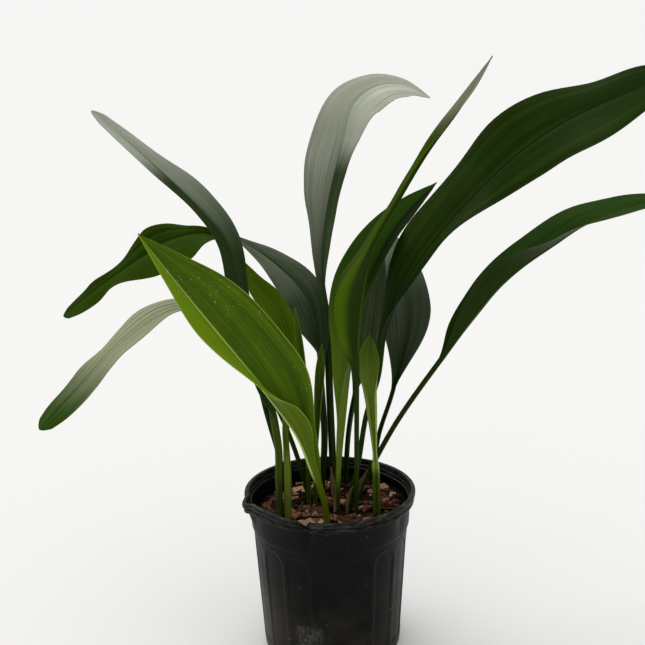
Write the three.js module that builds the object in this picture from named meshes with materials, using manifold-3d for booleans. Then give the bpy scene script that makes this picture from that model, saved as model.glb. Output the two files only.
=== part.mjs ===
// Potted cast iron plant: a clump of strap leaves in a bark-filled nursery pot.
// Millimetres, +Z up. The origin is the centre of the pot's flat bottom.
// +X is the viewer's right and +Y points away from the viewer.

import * as THREE from 'three';
import { mergeVertices } from 'three/addons/utils/BufferGeometryUtils.js';
import Module from 'manifold-3d';

// Pot
const POT_HEIGHT = 216;
const POT_SIDES = 48;
const FLOOR_RADIUS = 91;
const FLOOR_THICKNESS = 3;
const WALL = 2.4;
const COLLAR_BOTTOM = 169;
const COLLAR_TOP = 201;
const BODY_TOP_RADIUS = 101.5;
const COLLAR_RADIUS = 103.5;
const COLLAR_TOP_RADIUS = 105.5;
const LIP_RADIUS = 112;
const LIP_LOWER_RADIUS = 110.5;
const LIP_GROOVE_RADIUS = 108.8;
const LIP_INNER_RADIUS = 105.5;
const FOOT_CHAMFER = 4;

// Arched panels round the body
const PANEL_COUNT = 16;
const PANEL_PITCH = 2 * Math.PI / PANEL_COUNT;
const PANEL_START = THREE.MathUtils.degToRad(-92.5);
const PANEL_BOTTOM = 16;
const PANEL_SPRING = 144;
const PANEL_HALF_WIDTH_TOP = 16.6;
const PANEL_HALF_WIDTH_BOTTOM = 15;
const PANEL_DEPTH = 1;
const PANEL_CUTTER_REACH = 30;
const PANEL_ARCH_SEGMENTS = 5;

// Drain holes round the foot
const DRAIN_COUNT = 8;
const DRAIN_RADIUS = 7;
const DRAIN_RING = 80;
const DRAIN_SIDES = 10;

// The rim is knocked out of round: angle and half spread of each place in degrees, push and drop in mm
const RIM_PUSHES = [
  { angle: -162, spread: 9, push: 6.5, drop: 3.5 },
  { angle: -134, spread: 22, push: -3, drop: 0 },
  { angle: -106, spread: 4.5, push: -7, drop: 2.5 },
  { angle: -58, spread: 18, push: -2, drop: 1 },
];
const RIM_PUSH_START = COLLAR_BOTTOM;
const SOIL_PUSH_SHARE = 1.6;
const SOIL_LOOK_ROUND = 0.1;

// Soil
const SOIL_LEVEL = 189;
const SOIL_GAP = 0.4;
const SOIL_RISE = 5;
const SOIL_RINGS = 4;
const SOIL_SIDES = 32;
const CHIP_COUNT = 34;
const CHIP_SEED = 41;
const CHIP_REACH = 93;
const CHIP_LEAST = { length: 9, widthShare: 0.4, height: 4 };
const CHIP_SPREAD = { length: 12, widthShare: 0.3, height: 4 };
const CHIP_TILT = 0.7;
const LARGE_CHIP_TILT = 0.15;
const CHIP_CORNER_LEAST = 0.65;
const CHIP_LIFT = 0.5;
const LARGE_CHIPS = [
  { x: -33, y: -52, turn: 20, size: [25, 16, 9] },
  { x: -12, y: -52, turn: 75, size: [14, 9, 7] },
  { x: 18, y: -62, turn: -10, size: [26, 12, 5] },
  { x: -46, y: -26, turn: 60, size: [18, 11, 8] },
  { x: 70, y: 44, turn: 15, size: [24, 15, 8] },
  { x: 70, y: 2, turn: -40, size: [20, 12, 7] },
];

// Stems stand in holes in the soil
const STEM_FOOT = 172;
const STEM_SOIL = 197;
const HOLE_FLOOR = 171.4;
const HOLE_DEPTH = 60;
const HOLE_CLEARANCE = 0.6;
const HOLE_LEAST_RADIUS = 4.2;
const HOLE_SIDES = 12;

// Leaf sections
const BLADE_THICKNESS = 1;
const LEAF_ROUGHNESS = 0.45;
const MIDRIB_THICKNESS = 1.4;
const PETIOLE_CHANNEL = 55;
const TIP_HALF_WIDTH = 1.2;
const STEM_DEPTH_SHARE = 1.25;
const STEM_EDGE_LOSS = 1;
const STEM_RAISE_SHARE = 0.2;
const STEM_FLARE_POWER = 6;
const BLADE_START_RATE = 8;
const OUTLINE_ROUNDNESS = 1.7;
const OUTLINE_FOOT = 1.3;
const OUTLINE_POINT = 1.8;
const TIP_ROUNDING = 0.03;
const TIP_STATION = 0.975;
const WAVE_END_RATE = 5;
const WAVE_SIDE_PHASE = 2.1;

// How finely each kind of leaf is divided: places across a section, and sections along it
const BROAD_DIVISION = { stops: [-1, -0.5, 0, 0.5, 1], stem: 5, blade: 15 };
const ROLLED_DIVISION = { stops: [-1, -0.7, -0.35, 0, 0.35, 0.7, 1], stem: 4, blade: 8 };
const SHEATH_DIVISION = { stops: [-1, -0.5, 0, 0.5, 1], stem: 1, blade: 4 };

// Each leaf: foot is where the stem stands in the soil, path the hand-placed line of stem and midrib,
// blade the share of its length where the blade starts, heading the way it leans (0 right, 90 away),
// and roll, fold and curl are angles along the blade from its foot to its tip. Its outline is given
// by width and widest, the place of its greatest width, or by half, its half widths at even steps.
// The Other values are for the right side seen along the leaf, with its upper face up.
const LEAVES = [
  {
    name: 'leaf_front_left', colour: '#6f9a2c', foot: [-5, -52], stem: 3.6, blade: 0.121, heading: 200,
    path: [[-10, -55, 230], [-22, -62, 265], [-37, -76, 314], [-69, -102, 375], [-113, -134, 449],
      [-163, -168, 532], [-195, -188, 586]],
    half: [0, 8, 15, 27, 44, 54, 51, 44, 33, 19, 2], halfOther: [0, 11, 23, 39, 55, 63, 62, 55, 42, 23, 2],
    roll: [0, -35, -45, -45], fold: [60, 65, 32, 20, 15], curl: [60, 20, 0, 0], wave: [3, 3, 40],
  },
  {
    name: 'leaf_left_upper', colour: '#5f7d62', foot: [-66, -29], stem: 4.6, blade: 0.195, heading: 185,
    path: [[-65, -30, 241], [-65, -28, 290], [-87, -22, 392], [-105, -20, 488], [-117, -26, 547],
      [-147, -40, 592], [-204, -68, 656], [-254, -98, 709]],
    half: [0, 6, 10, 14, 16, 15, 12, 10, 10, 9, 5], halfOther: [0, 5, 7, 9, 11, 18, 26, 24, 15, 11, 6],
    roll: [-10, -68, -55, -48, -55], fold: [40, -25, -5, 5, 7], wave: [2, 3, 0],
  },
  {
    name: 'leaf_left_arching', colour: '#3f6b2a', foot: [-60, 62], stem: 3, blade: 0.568, heading: 190,
    path: [[-67, 67, 228], [-88, 76, 312], [-108, 75, 440], [-125, 72, 526], [-152, 74, 543],
      [-201, 82, 534], [-236, 90, 514], [-290, 102, 480], [-361, 116, 427]],
    half: [0, 26, 38, 43, 38, 28, 20, 16, 16, 17, 9], halfOther: [0, 5, 14, 27, 34, 29, 20, 13, 15, 16, 8],
    roll: [-50, -50, -42, -35, -30], fold: [40, 5, 0, -5, -5], wave: [4, 3, 0],
  },
  {
    name: 'leaf_left_low', colour: '#66836a', foot: [-29, 16], stem: 3, blade: 0.457, heading: 190,
    path: [[-47, 20, 268], [-78, 28, 343], [-120, 30, 416], [-154, 22, 451], [-194, 2, 459],
      [-252, -34, 428], [-295, -62, 387], [-344, -98, 340]],
    half: [0, 8, 18, 28, 35, 36, 34, 29, 24, 18, 9],
    roll: [0, -8, -8, -20, -50], fold: [40, 10, 0, -8], wave: [2, 3, 0],
  },
  {
    name: 'leaf_left_inner', colour: '#77a035', foot: [-55, -32], stem: 4.6, blade: 0.22, heading: 165,
    path: [[-54, -30, 254], [-57, -20, 304], [-52, -2, 359], [-54, 15, 421], [-70, 22, 462],
      [-88, 22, 486], [-110, 26, 522]],
    half: [0, 5, 10, 14, 18, 23, 27, 26, 19, 10, 1], halfOther: [0, 3, 6, 9, 12, 15, 17, 18, 15, 8, 1],
    roll: [0, -50, -60], fold: [70, 35, 15], foldOther: [70, 35, 20],
  },
  {
    name: 'leaf_centre_left', colour: '#476a58', foot: [-11, 45], stem: 4.2, blade: 0.406, heading: 160,
    path: [[-6, 44, 265], [-9, 42, 344], [-14, 44, 411], [-28, 45, 465], [-64, 52, 505], [-121, 66, 544]],
    half: [0, 10, 18, 26, 31, 31, 26, 19, 12, 6, 1], halfOther: [0, 5, 12, 19, 24, 26, 24, 19, 13, 6, 1],
    roll: [0, -55, -60], fold: [50, 10, 5],
  },
  {
    name: 'leaf_centre_tall', colour: '#6d8472', foot: [6, 44], stem: 4.4, blade: 0.377, heading: 45,
    path: [[3, 56, 318], [1, 68, 426], [-4, 82, 511], [4, 94, 575], [26, 112, 655], [41, 130, 703],
      [74, 148, 726], [112, 162, 726], [148, 172, 708]],
    half: [0, 5, 11, 20, 35, 44, 43, 32, 20, 10, 3], halfOther: [0, 8, 20, 27, 26, 27, 34, 42, 42, 28, 3],
    roll: [0, 0, 8, 28, 60], fold: [50, 25, 15, 10], foldOther: [50, 20, 20, 10, 10],
  },
  {
    name: 'leaf_right_narrow', colour: '#86a93c', foot: [34, -27], stem: 3, blade: 0.331, heading: 0,
    path: [[35, -33, 294], [36, -40, 380], [38, -43, 440], [45, -43, 496], [57, -40, 542],
      [85, -42, 592], [121, -46, 652], [157, -54, 702], [191, -66, 759]],
    half: [0, 20, 33, 34, 20, 12, 10, 10, 11, 7, 1],
    roll: [0, 0, 0, 0, 20, 30], fold: [85, 70, 25, 40, 30, 5],
  },
  {
    name: 'leaf_right_folded', colour: '#4c7432', foot: [10, -8], stem: 3.2, blade: 0.12, heading: 15,
    path: [[11, -8, 229], [20, -2, 310], [30, 5, 388], [44, 15, 460], [61, 27, 504], [81, 43, 540],
      [109, 66, 570], [148, 92, 602]],
    half: [0, 4, 9, 18, 27, 38, 42, 37, 27, 15, 2], halfOther: [0, 6, 12, 20, 28, 33, 34, 29, 21, 12, 2],
    roll: [0, 15, 25], fold: [80, 50, 30], foldOther: [80, 30, 5],
  },
  {
    name: 'leaf_right_broad', colour: '#3d6b3a', foot: [23, -12], stem: 3.2, blade: 0.261, heading: 0,
    path: [[36, -5, 242], [49, 5, 312], [65, 12, 361], [76, 12, 427], [100, 8, 487], [137, -2, 544],
      [187, -24, 606], [231, -48, 652], [274, -74, 686], [344, -112, 722], [396, -140, 741]],
    half: [0, 10, 27, 41, 47, 50, 54, 48, 32, 25, 4], halfOther: [0, 7, 12, 18, 26, 34, 40, 47, 47, 26, 4],
    roll: [0, 30, 48, 52], fold: [40, 15, 5, 0], wave: [4, 3, 0],
  },
  {
    name: 'leaf_right_back', colour: '#5d7b74', foot: [62, 58], stem: 3, blade: 0.402, heading: 80,
    path: [[67, 52, 264], [88, 64, 327], [107, 92, 403], [104, 136, 478], [101, 190, 518]],
    width: 74, widest: 0.46,
    roll: [0, 0], fold: [50, 15, 10],
  },
  {
    name: 'leaf_right_inner', colour: '#3c5c44', foot: [23, 77], stem: 3.2, blade: 0.42, heading: 60,
    path: [[28, 75, 267], [37, 72, 319], [56, 66, 391], [66, 68, 455], [76, 73, 518]],
    width: 54, widest: 0.42,
    roll: [0, 0], fold: [50, 20, 10],
  },
  {
    name: 'leaf_right_low', colour: '#41693a', foot: [40, 25], stem: 3.2, blade: 0.361, heading: 0,
    path: [[57, 25, 234], [92, 26, 298], [148, 30, 378], [194, 36, 437], [222, 40, 470], [251, 44, 495],
      [294, 50, 523], [342, 58, 551], [416, 70, 572], [491, 82, 573]],
    half: [0, 18, 28, 33, 37, 39, 39, 34, 25, 14, 1], halfOther: [0, 12, 26, 35, 37, 36, 33, 27, 19, 10, 1],
    roll: [0, 0, 10, 20], fold: [80, 50, 35, 15, 5], foldOther: [80, 70, 30, 5, 0],
  },
];

// Young leaves are still rolled: one margin wraps over the other.
const YOUNG_LEAVES = [
  {
    name: 'young_leaf_right', colour: '#86ad3f', foot: [60, -30], stem: 4.8, blade: 0.323, heading: 90,
    path: [[59, -27, 254], [55, -18, 328], [51, -13, 386], [53, -12, 425]],
    width: 46, widest: 0.74, roll: [0, 0], fold: [15, 15, 15], curl: [125, 120, 40],
  },
  {
    name: 'young_leaf_left', colour: '#8fae4a', foot: [-28, 10], stem: 2.6, blade: 0.299, heading: 90,
    path: [[-28, 2, 258], [-29, -3, 338], [-34, -6, 412], [-39, -7, 460]],
    width: 24, widest: 0.5, roll: [0, 0], fold: [15, 15, 15], curl: [120, 115, 60],
  },
  {
    name: 'young_leaf_centre', colour: '#8fae4a', foot: [-20, 16], stem: 2.4, blade: 0.326, heading: 90,
    path: [[-17, 14, 249], [-13, 12, 333], [-6, 12, 408]],
    width: 24, widest: 0.6, roll: [0, 0], fold: [15, 15, 15], curl: [120, 110, 40],
  },
];

// Dry papery sheaths that stand round the feet of some stems
const SHEATHS = [
  {
    name: 'sheath_left', colour: '#6d7a34', foot: [-66, -38.5], stem: 2, blade: 0.42, heading: 270,
    path: [[-66, -38.2, 215], [-65, -37, 242]],
    width: 10, widest: 0.3, roll: [0, 0], fold: [10, 10], curl: [70, 50],
  },
  {
    name: 'sheath_front', colour: '#b39466', foot: [6, -20], stem: 2, blade: 0.42, heading: 270,
    path: [[5, -20, 220], [2, -19, 252]],
    width: 7, widest: 0.3, roll: [0, 0], fold: [10, 10], curl: [60, 40],
  },
  {
    name: 'sheath_right', colour: '#b08d5e', foot: [22, -20.5], stem: 2, blade: 0.42, heading: 270,
    path: [[25, -19.5, 212], [30, -17, 224]],
    width: 8, widest: 0.3, roll: [0, 0], fold: [10, 10], curl: [70, 50],
  },
  {
    name: 'sheath_back', colour: '#a98a5c', foot: [37, 16], stem: 2, blade: 0.42, heading: 270,
    path: [[41, 16, 212], [50, 16, 232]],
    width: 8, widest: 0.3, roll: [0, 0], fold: [10, 10], curl: [70, 50],
  },
];

const wasm = await Module();
wasm.setup();

// Solids in and out of the boolean library

function toSolid(geometry) {
  const bare = geometry.clone();
  bare.deleteAttribute('normal');
  bare.deleteAttribute('uv');
  const merged = mergeVertices(bare, 1e-4);
  return new wasm.Manifold(new wasm.Mesh({
    numProp: 3,
    vertProperties: new Float32Array(merged.attributes.position.array),
    triVerts: new Uint32Array(merged.index.array),
  }));
}

function toGeometry(solid) {
  const mesh = solid.getMesh();
  const geometry = new THREE.BufferGeometry();
  geometry.setAttribute('position', new THREE.BufferAttribute(new Float32Array(mesh.vertProperties), 3));
  geometry.setIndex(new THREE.BufferAttribute(new Uint32Array(mesh.triVerts), 1));
  return geometry;
}

function largestPiece(solid) {
  const pieces = solid.decompose();
  pieces.sort((a, b) => b.volume() - a.volume());
  return pieces[0];
}

function namedMesh(name, geometry, colour, roughness) {
  geometry.computeVertexNormals();
  const material = new THREE.MeshStandardMaterial({ color: colour, roughness, metalness: 0 });
  const mesh = new THREE.Mesh(geometry, material);
  mesh.name = name;
  return mesh;
}

// Small formulas

function smooth(t) {
  const x = THREE.MathUtils.clamp(t, 0, 1);
  return x * x * (3 - 2 * x);
}

// A value along the blade, eased from key to key
function keyed(keys, q) {
  const place = THREE.MathUtils.clamp(q, 0, 1) * (keys.length - 1);
  const i = Math.min(Math.floor(place), keys.length - 2);
  return keys[i] + (keys[i + 1] - keys[i]) * smooth(place - i);
}

// A value along the blade, on a smooth line through evenly spaced keys
function flowing(keys, q) {
  const last = keys.length - 1;
  const place = THREE.MathUtils.clamp(q, 0, 1) * last;
  const i = Math.min(Math.floor(place), last - 1);
  const t = place - i;
  const slope = (k) => (keys[Math.min(k + 1, last)] - keys[Math.max(k - 1, 0)]) / 2;
  const [start, end] = [slope(i), slope(i + 1)];
  const step = keys[i + 1] - keys[i];
  return keys[i] + start * t + (3 * step - 2 * start - end) * t * t + (start + end - 2 * step) * t ** 3;
}

function seededRandom(seed) {
  let state = seed >>> 0;
  return () => {
    state = (Math.imul(state, 1664525) + 1013904223) >>> 0;
    return state / 4294967296;
  };
}

// Turned solid about Z from [radius, height] points that start and end on the axis
function turned(profile, sides) {
  const geometry = new THREE.LatheGeometry(profile.map(([r, z]) => new THREE.Vector2(r, z)), sides);
  geometry.rotateX(Math.PI / 2);
  return toSolid(geometry);
}

// Pot

function bodyRadius(z) {
  return THREE.MathUtils.lerp(FLOOR_RADIUS, BODY_TOP_RADIUS, z / COLLAR_BOTTOM);
}

// Inside of the wall at a height, below the lip
function innerRadius(z) {
  if (z < COLLAR_BOTTOM) return bodyRadius(z) - WALL;
  const t = (z - COLLAR_BOTTOM) / (POT_HEIGHT - COLLAR_BOTTOM);
  return THREE.MathUtils.lerp(BODY_TOP_RADIUS - WALL, LIP_INNER_RADIUS, t);
}

// How far the knocked rim goes out and down at an angle
function rimPush(angle) {
  const total = { push: 0, drop: 0 };
  for (const place of RIM_PUSHES) {
    let away = THREE.MathUtils.radToDeg(angle) - place.angle;
    away = Math.abs(THREE.MathUtils.euclideanModulo(away + 180, 360) - 180);
    total.push += place.push * smooth(1 - away / place.spread);
    total.drop += place.drop * smooth(1 - away / place.spread);
  }
  return total;
}

// How much of the push reaches a height
function pushStrength(z) {
  return smooth((z - RIM_PUSH_START) / (POT_HEIGHT - RIM_PUSH_START));
}

// Moves a point away from the axis
function movedOut(x, y, z, distance) {
  const radius = Math.hypot(x, y);
  const scale = (radius + distance) / radius;
  return [x * scale, y * scale, z];
}

function panelCutter(index, core) {
  const shape = new THREE.Shape();
  shape.moveTo(-PANEL_HALF_WIDTH_BOTTOM, PANEL_BOTTOM);
  shape.lineTo(PANEL_HALF_WIDTH_BOTTOM, PANEL_BOTTOM);
  shape.lineTo(PANEL_HALF_WIDTH_TOP, PANEL_SPRING);
  shape.absarc(0, PANEL_SPRING, PANEL_HALF_WIDTH_TOP, 0, Math.PI, false);
  shape.lineTo(-PANEL_HALF_WIDTH_BOTTOM, PANEL_BOTTOM);
  const geometry = new THREE.ExtrudeGeometry(shape, {
    depth: PANEL_CUTTER_REACH,
    bevelEnabled: false,
    curveSegments: PANEL_ARCH_SEGMENTS,
  });
  geometry.rotateX(Math.PI / 2);
  geometry.rotateZ(Math.PI);
  geometry.translate(0, FLOOR_RADIUS - PANEL_CUTTER_REACH / 2, 0);
  geometry.rotateZ(PANEL_START + index * PANEL_PITCH - Math.PI / 2);
  return toSolid(geometry).subtract(core);
}

function buildPot() {
  const profile = [
    [0, 0],
    [FLOOR_RADIUS - FOOT_CHAMFER, 0],
    [FLOOR_RADIUS - FOOT_CHAMFER / 4, FOOT_CHAMFER / 2.5],
    [bodyRadius(FOOT_CHAMFER), FOOT_CHAMFER],
    [BODY_TOP_RADIUS, COLLAR_BOTTOM],
    [COLLAR_RADIUS, COLLAR_BOTTOM + 2],
    [COLLAR_TOP_RADIUS, COLLAR_TOP],
    [LIP_LOWER_RADIUS, COLLAR_TOP + 1],
    [LIP_LOWER_RADIUS, COLLAR_TOP + 5],
    [LIP_GROOVE_RADIUS, COLLAR_TOP + 7],
    [LIP_RADIUS, COLLAR_TOP + 9],
    [LIP_RADIUS, POT_HEIGHT - 1.5],
    [LIP_RADIUS - 2, POT_HEIGHT],
    [LIP_INNER_RADIUS + 0.8, POT_HEIGHT],
    [LIP_INNER_RADIUS, POT_HEIGHT - 1],
    [innerRadius(COLLAR_TOP), COLLAR_TOP],
    [innerRadius(COLLAR_BOTTOM), COLLAR_BOTTOM],
    [innerRadius(FLOOR_THICKNESS), FLOOR_THICKNESS],
    [0, FLOOR_THICKNESS],
  ];
  const core = turned([
    [0, 0],
    [FLOOR_RADIUS - PANEL_DEPTH, 0],
    [BODY_TOP_RADIUS - PANEL_DEPTH, COLLAR_BOTTOM],
    [0, COLLAR_BOTTOM],
  ], POT_SIDES);
  let pot = turned(profile, POT_SIDES);
  for (let i = 0; i < PANEL_COUNT; i += 1) {
    pot = pot.subtract(panelCutter(i, core));
  }
  for (let i = 0; i < DRAIN_COUNT; i += 1) {
    const angle = (i + 0.5) * 2 * Math.PI / DRAIN_COUNT;
    const hole = new THREE.CylinderGeometry(DRAIN_RADIUS, DRAIN_RADIUS, 4 * FLOOR_THICKNESS, DRAIN_SIDES);
    hole.rotateX(Math.PI / 2);
    hole.translate(DRAIN_RING * Math.cos(angle), DRAIN_RING * Math.sin(angle), 0);
    pot = pot.subtract(toSolid(hole));
  }
  const geometry = toGeometry(pot);
  const position = geometry.attributes.position;
  for (let i = 0; i < position.count; i += 1) {
    const [x, y, z] = [position.getX(i), position.getY(i), position.getZ(i)];
    if (Math.hypot(x, y) < FLOOR_RADIUS) continue;
    const { push, drop } = rimPush(Math.atan2(y, x));
    position.setXYZ(i, ...movedOut(x, y, z - drop * pushStrength(z), push * pushStrength(z)));
  }
  return namedMesh('pot', geometry, '#23262a', 0.6);
}

// Soil

function soilHeight(x, y) {
  const bumps = 1.6 * Math.sin(x / 9 + 1) * Math.cos(y / 11) + 1.2 * Math.sin((x + y) / 6);
  return SOIL_LEVEL + SOIL_RISE * (x / FLOOR_RADIUS) + bumps * smooth(1.15 - Math.hypot(x, y) / FLOOR_RADIUS);
}

// The filled shape: a centre point and rings on top, the side, and a flat underside
function soilBody() {
  const points = [];
  const faces = [];
  const wallHeights = [COLLAR_BOTTOM, 145, 100, 50];
  const underside = FLOOR_THICKNESS + SOIL_GAP;
  const rings = [];
  const addRing = (place) => {
    const ring = [];
    for (let j = 0; j < SOIL_SIDES; j += 1) {
      ring.push(points.length);
      points.push(place(j * 2 * Math.PI / SOIL_SIDES));
    }
    rings.push(ring);
  };
  // The soil follows the wall only where the wall is pushed in
  const onWall = (angle, z) => {
    const sag = Math.cos(Math.PI / POT_SIDES);
    const radius = innerRadius(z) * sag - SOIL_GAP;
    const near = [-SOIL_LOOK_ROUND, 0, SOIL_LOOK_ROUND].map((turn) => rimPush(angle + turn).push);
    const push = Math.min(0, SOIL_PUSH_SHARE * Math.min(...near)) * pushStrength(z);
    return movedOut(radius * Math.cos(angle), radius * Math.sin(angle), z, push);
  };
  for (let i = 1; i <= SOIL_RINGS; i += 1) {
    addRing((angle) => {
      const edge = onWall(angle, SOIL_LEVEL - SOIL_RISE);
      const x = edge[0] * i / SOIL_RINGS;
      const y = edge[1] * i / SOIL_RINGS;
      return [x, y, soilHeight(x, y)];
    });
  }
  for (const z of wallHeights) addRing((angle) => onWall(angle, z));
  addRing((angle) => onWall(angle, underside));
  const top = points.push([0, 0, soilHeight(0, 0)]) - 1;
  const bottom = points.push([0, 0, underside]) - 1;
  for (let j = 0; j < SOIL_SIDES; j += 1) {
    const next = (j + 1) % SOIL_SIDES;
    faces.push(top, rings[0][j], rings[0][next]);
    for (let i = 0; i < rings.length - 1; i += 1) {
      faces.push(rings[i][j], rings[i + 1][j], rings[i + 1][next]);
      faces.push(rings[i][j], rings[i + 1][next], rings[i][next]);
    }
    faces.push(bottom, rings[rings.length - 1][next], rings[rings.length - 1][j]);
  }
  return meshGeometry(points, faces);
}

function meshGeometry(points, faces) {
  const geometry = new THREE.BufferGeometry();
  geometry.setAttribute('position', new THREE.BufferAttribute(new Float32Array(points.flat()), 3));
  geometry.setIndex(faces);
  return geometry;
}

// A bark chip: a block with knocked corners
function barkChip(size, random) {
  const geometry = new THREE.BoxGeometry(...size);
  geometry.deleteAttribute('normal');
  geometry.deleteAttribute('uv');
  const block = mergeVertices(geometry);
  const position = block.attributes.position;
  const corner = () => THREE.MathUtils.lerp(CHIP_CORNER_LEAST, 1, random());
  for (let i = 0; i < position.count; i += 1) {
    const [x, y, z] = [position.getX(i), position.getY(i), position.getZ(i)];
    position.setXYZ(i, x * corner(), y * corner(), z * corner());
  }
  return block;
}

function placeChip(chip, x, y, turn, tilt) {
  chip.rotateX(tilt);
  chip.rotateZ(turn);
  chip.translate(x, y, soilHeight(x, y) + CHIP_LIFT);
  return toSolid(chip);
}

function buildSoil(stems) {
  const random = seededRandom(CHIP_SEED);
  let soil = toSolid(soilBody());
  for (const { x, y, turn, size } of LARGE_CHIPS) {
    const angle = THREE.MathUtils.degToRad(turn);
    soil = soil.add(placeChip(barkChip(size, random), x, y, angle, LARGE_CHIP_TILT));
  }
  for (let i = 0; i < CHIP_COUNT; i += 1) {
    const length = CHIP_LEAST.length + CHIP_SPREAD.length * random();
    const reach = (CHIP_REACH - length / 2) * Math.sqrt(random());
    const angle = 2 * Math.PI * random();
    const width = length * (CHIP_LEAST.widthShare + CHIP_SPREAD.widthShare * random());
    const height = CHIP_LEAST.height + CHIP_SPREAD.height * random();
    const chip = barkChip([length, width, height], random);
    const turn = 2 * Math.PI * random();
    const tilt = CHIP_TILT * (random() - 0.5);
    soil = soil.add(placeChip(chip, reach * Math.cos(angle), reach * Math.sin(angle), turn, tilt));
  }
  for (const { foot, stem } of stems) {
    const radius = Math.max(STEM_DEPTH_SHARE * stem + HOLE_CLEARANCE, HOLE_LEAST_RADIUS);
    const hole = new THREE.CylinderGeometry(radius, radius, HOLE_DEPTH, HOLE_SIDES);
    hole.rotateX(Math.PI / 2);
    hole.translate(foot[0], foot[1], HOLE_FLOOR + HOLE_DEPTH / 2);
    soil = soil.subtract(toSolid(hole));
  }
  return namedMesh('bark_soil', toGeometry(largestPiece(soil)), '#4a3527', 0.95);
}

// Leaves

// Share of the full width at a place along the blade
function outline(leaf, q) {
  const { widest } = leaf;
  if (q < widest) return (1 - (1 - q / widest) ** OUTLINE_ROUNDNESS) ** OUTLINE_FOOT;
  return 1 - ((q - widest) / (1 - widest)) ** OUTLINE_POINT;
}

// Half width of the blade on one side of its midrib
function bladeHalf(leaf, side, q) {
  const half = side < 0 ? (leaf.halfOther ?? leaf.half) : leaf.half;
  if (half) return flowing(half, q) * Math.sqrt(Math.min(1, (1 - q) / TIP_ROUNDING));
  return leaf.width / 2 * outline(leaf, q);
}

// Angles of one half of the section, in radians: at the midrib, and how much it turns to the margin
function halfAngles(leaf, side, q, onBlade) {
  const fold = side < 0 ? (leaf.foldOther ?? leaf.fold) : leaf.fold;
  const curl = leaf.curl ?? [0, 0];
  const open = keyed(fold, q);
  const turn = keyed(curl, q);
  return {
    start: THREE.MathUtils.degToRad(THREE.MathUtils.lerp(PETIOLE_CHANNEL, open, onBlade)),
    turn: THREE.MathUtils.degToRad(turn * onBlade),
  };
}

// Point of the section's upper face at u, from -1 at one margin to 1 at the other
function sectionPoint(start, turn, u, halfWidth) {
  const a = Math.abs(u);
  let across = a * Math.cos(start);
  let up = a * Math.sin(start);
  if (Math.abs(turn) > 1e-4) {
    across = (Math.sin(start + turn * a) - Math.sin(start)) / turn;
    up = (Math.cos(start) - Math.cos(start + turn * a)) / turn;
  }
  const slope = u === 0 ? 0 : start + turn * a;
  return { across: Math.sign(u) * across * halfWidth, up: up * halfWidth, slope };
}

function leafFrame(curve, s, heading, roll) {
  const centre = curve.getPointAt(s);
  const along = curve.getTangentAt(s);
  const h = THREE.MathUtils.degToRad(heading);
  const side = new THREE.Vector3(-Math.sin(h), Math.cos(h), 0);
  side.addScaledVector(along, -side.dot(along)).normalize();
  const face = new THREE.Vector3().crossVectors(along, side);
  side.applyAxisAngle(along, roll);
  face.applyAxisAngle(along, roll);
  return { centre, side, face };
}

function leafPath(leaf) {
  const [x, y] = leaf.foot;
  const points = [[x, y, STEM_FOOT], [x, y, STEM_SOIL], ...leaf.path];
  const curve = new THREE.CatmullRomCurve3(points.map((p) => new THREE.Vector3(...p)), false, 'centripetal');
  curve.arcLengthDivisions = 400;
  return curve;
}

function buildLeaf(leaf, division) {
  const curve = leafPath(leaf);
  const length = curve.getLength();
  const buried = (STEM_SOIL - STEM_FOOT) / length;
  const stations = [0];
  for (let i = 0; i < division.stem; i += 1) {
    stations.push(THREE.MathUtils.lerp(buried, leaf.blade, i / division.stem));
  }
  for (let i = 0; i <= division.blade; i += 1) {
    stations.push(THREE.MathUtils.lerp(leaf.blade, 1, i / division.blade));
  }
  stations.splice(-1, 0, THREE.MathUtils.lerp(leaf.blade, 1, TIP_STATION));
  const points = [];
  const [waveHeight, waveCount, wavePhase] = leaf.wave ?? [0, 0, 0];
  for (const s of stations) {
    const q = Math.max(0, (s - leaf.blade) / (1 - leaf.blade));
    const onBlade = smooth(q * BLADE_START_RATE);
    const roll = THREE.MathUtils.degToRad(keyed(leaf.roll, q));
    const { centre, side, face } = leafFrame(curve, s, leaf.heading, roll);
    const place = (across, up) => centre.clone().addScaledVector(side, across).addScaledVector(face, up);
    const upper = [];
    const lower = [];
    for (const u of division.stops) {
      const direction = u < 0 ? -1 : 1;
      const full = s > leaf.blade ? bladeHalf(leaf, direction, q) : 0;
      const halfWidth = Math.max(TIP_HALF_WIDTH, full + leaf.stem * (1 - q) ** STEM_FLARE_POWER);
      const { start, turn } = halfAngles(leaf, direction, q, onBlade);
      const point = sectionPoint(start, turn, u, halfWidth);
      const ease = THREE.MathUtils.clamp(WAVE_END_RATE * Math.min(q, 1 - q), 0, 1);
      const phase = THREE.MathUtils.degToRad(wavePhase) + (direction < 0 ? 0 : WAVE_SIDE_PHASE);
      point.up += waveHeight * u * u * Math.sin(2 * Math.PI * waveCount * q + phase) * ease;
      point.up += STEM_RAISE_SHARE * leaf.stem * (1 - onBlade);
      const stemDepth = leaf.stem * (STEM_DEPTH_SHARE - STEM_EDGE_LOSS * Math.abs(u));
      const bladeDepth = BLADE_THICKNESS + (u === 0 ? MIDRIB_THICKNESS * (1 - q) : 0);
      const depth = THREE.MathUtils.lerp(Math.max(stemDepth, BLADE_THICKNESS), bladeDepth, onBlade);
      const slope = direction * point.slope;
      upper.push(place(point.across, point.up));
      lower.push(place(point.across + depth * Math.sin(slope), point.up - depth * Math.cos(slope)));
    }
    points.push(...upper, ...lower.reverse());
  }
  const geometry = loftGeometry(points, division.stops.length * 2, stations.length);
  return namedMesh(leaf.name, geometry, leaf.colour, LEAF_ROUGHNESS);
}

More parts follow.
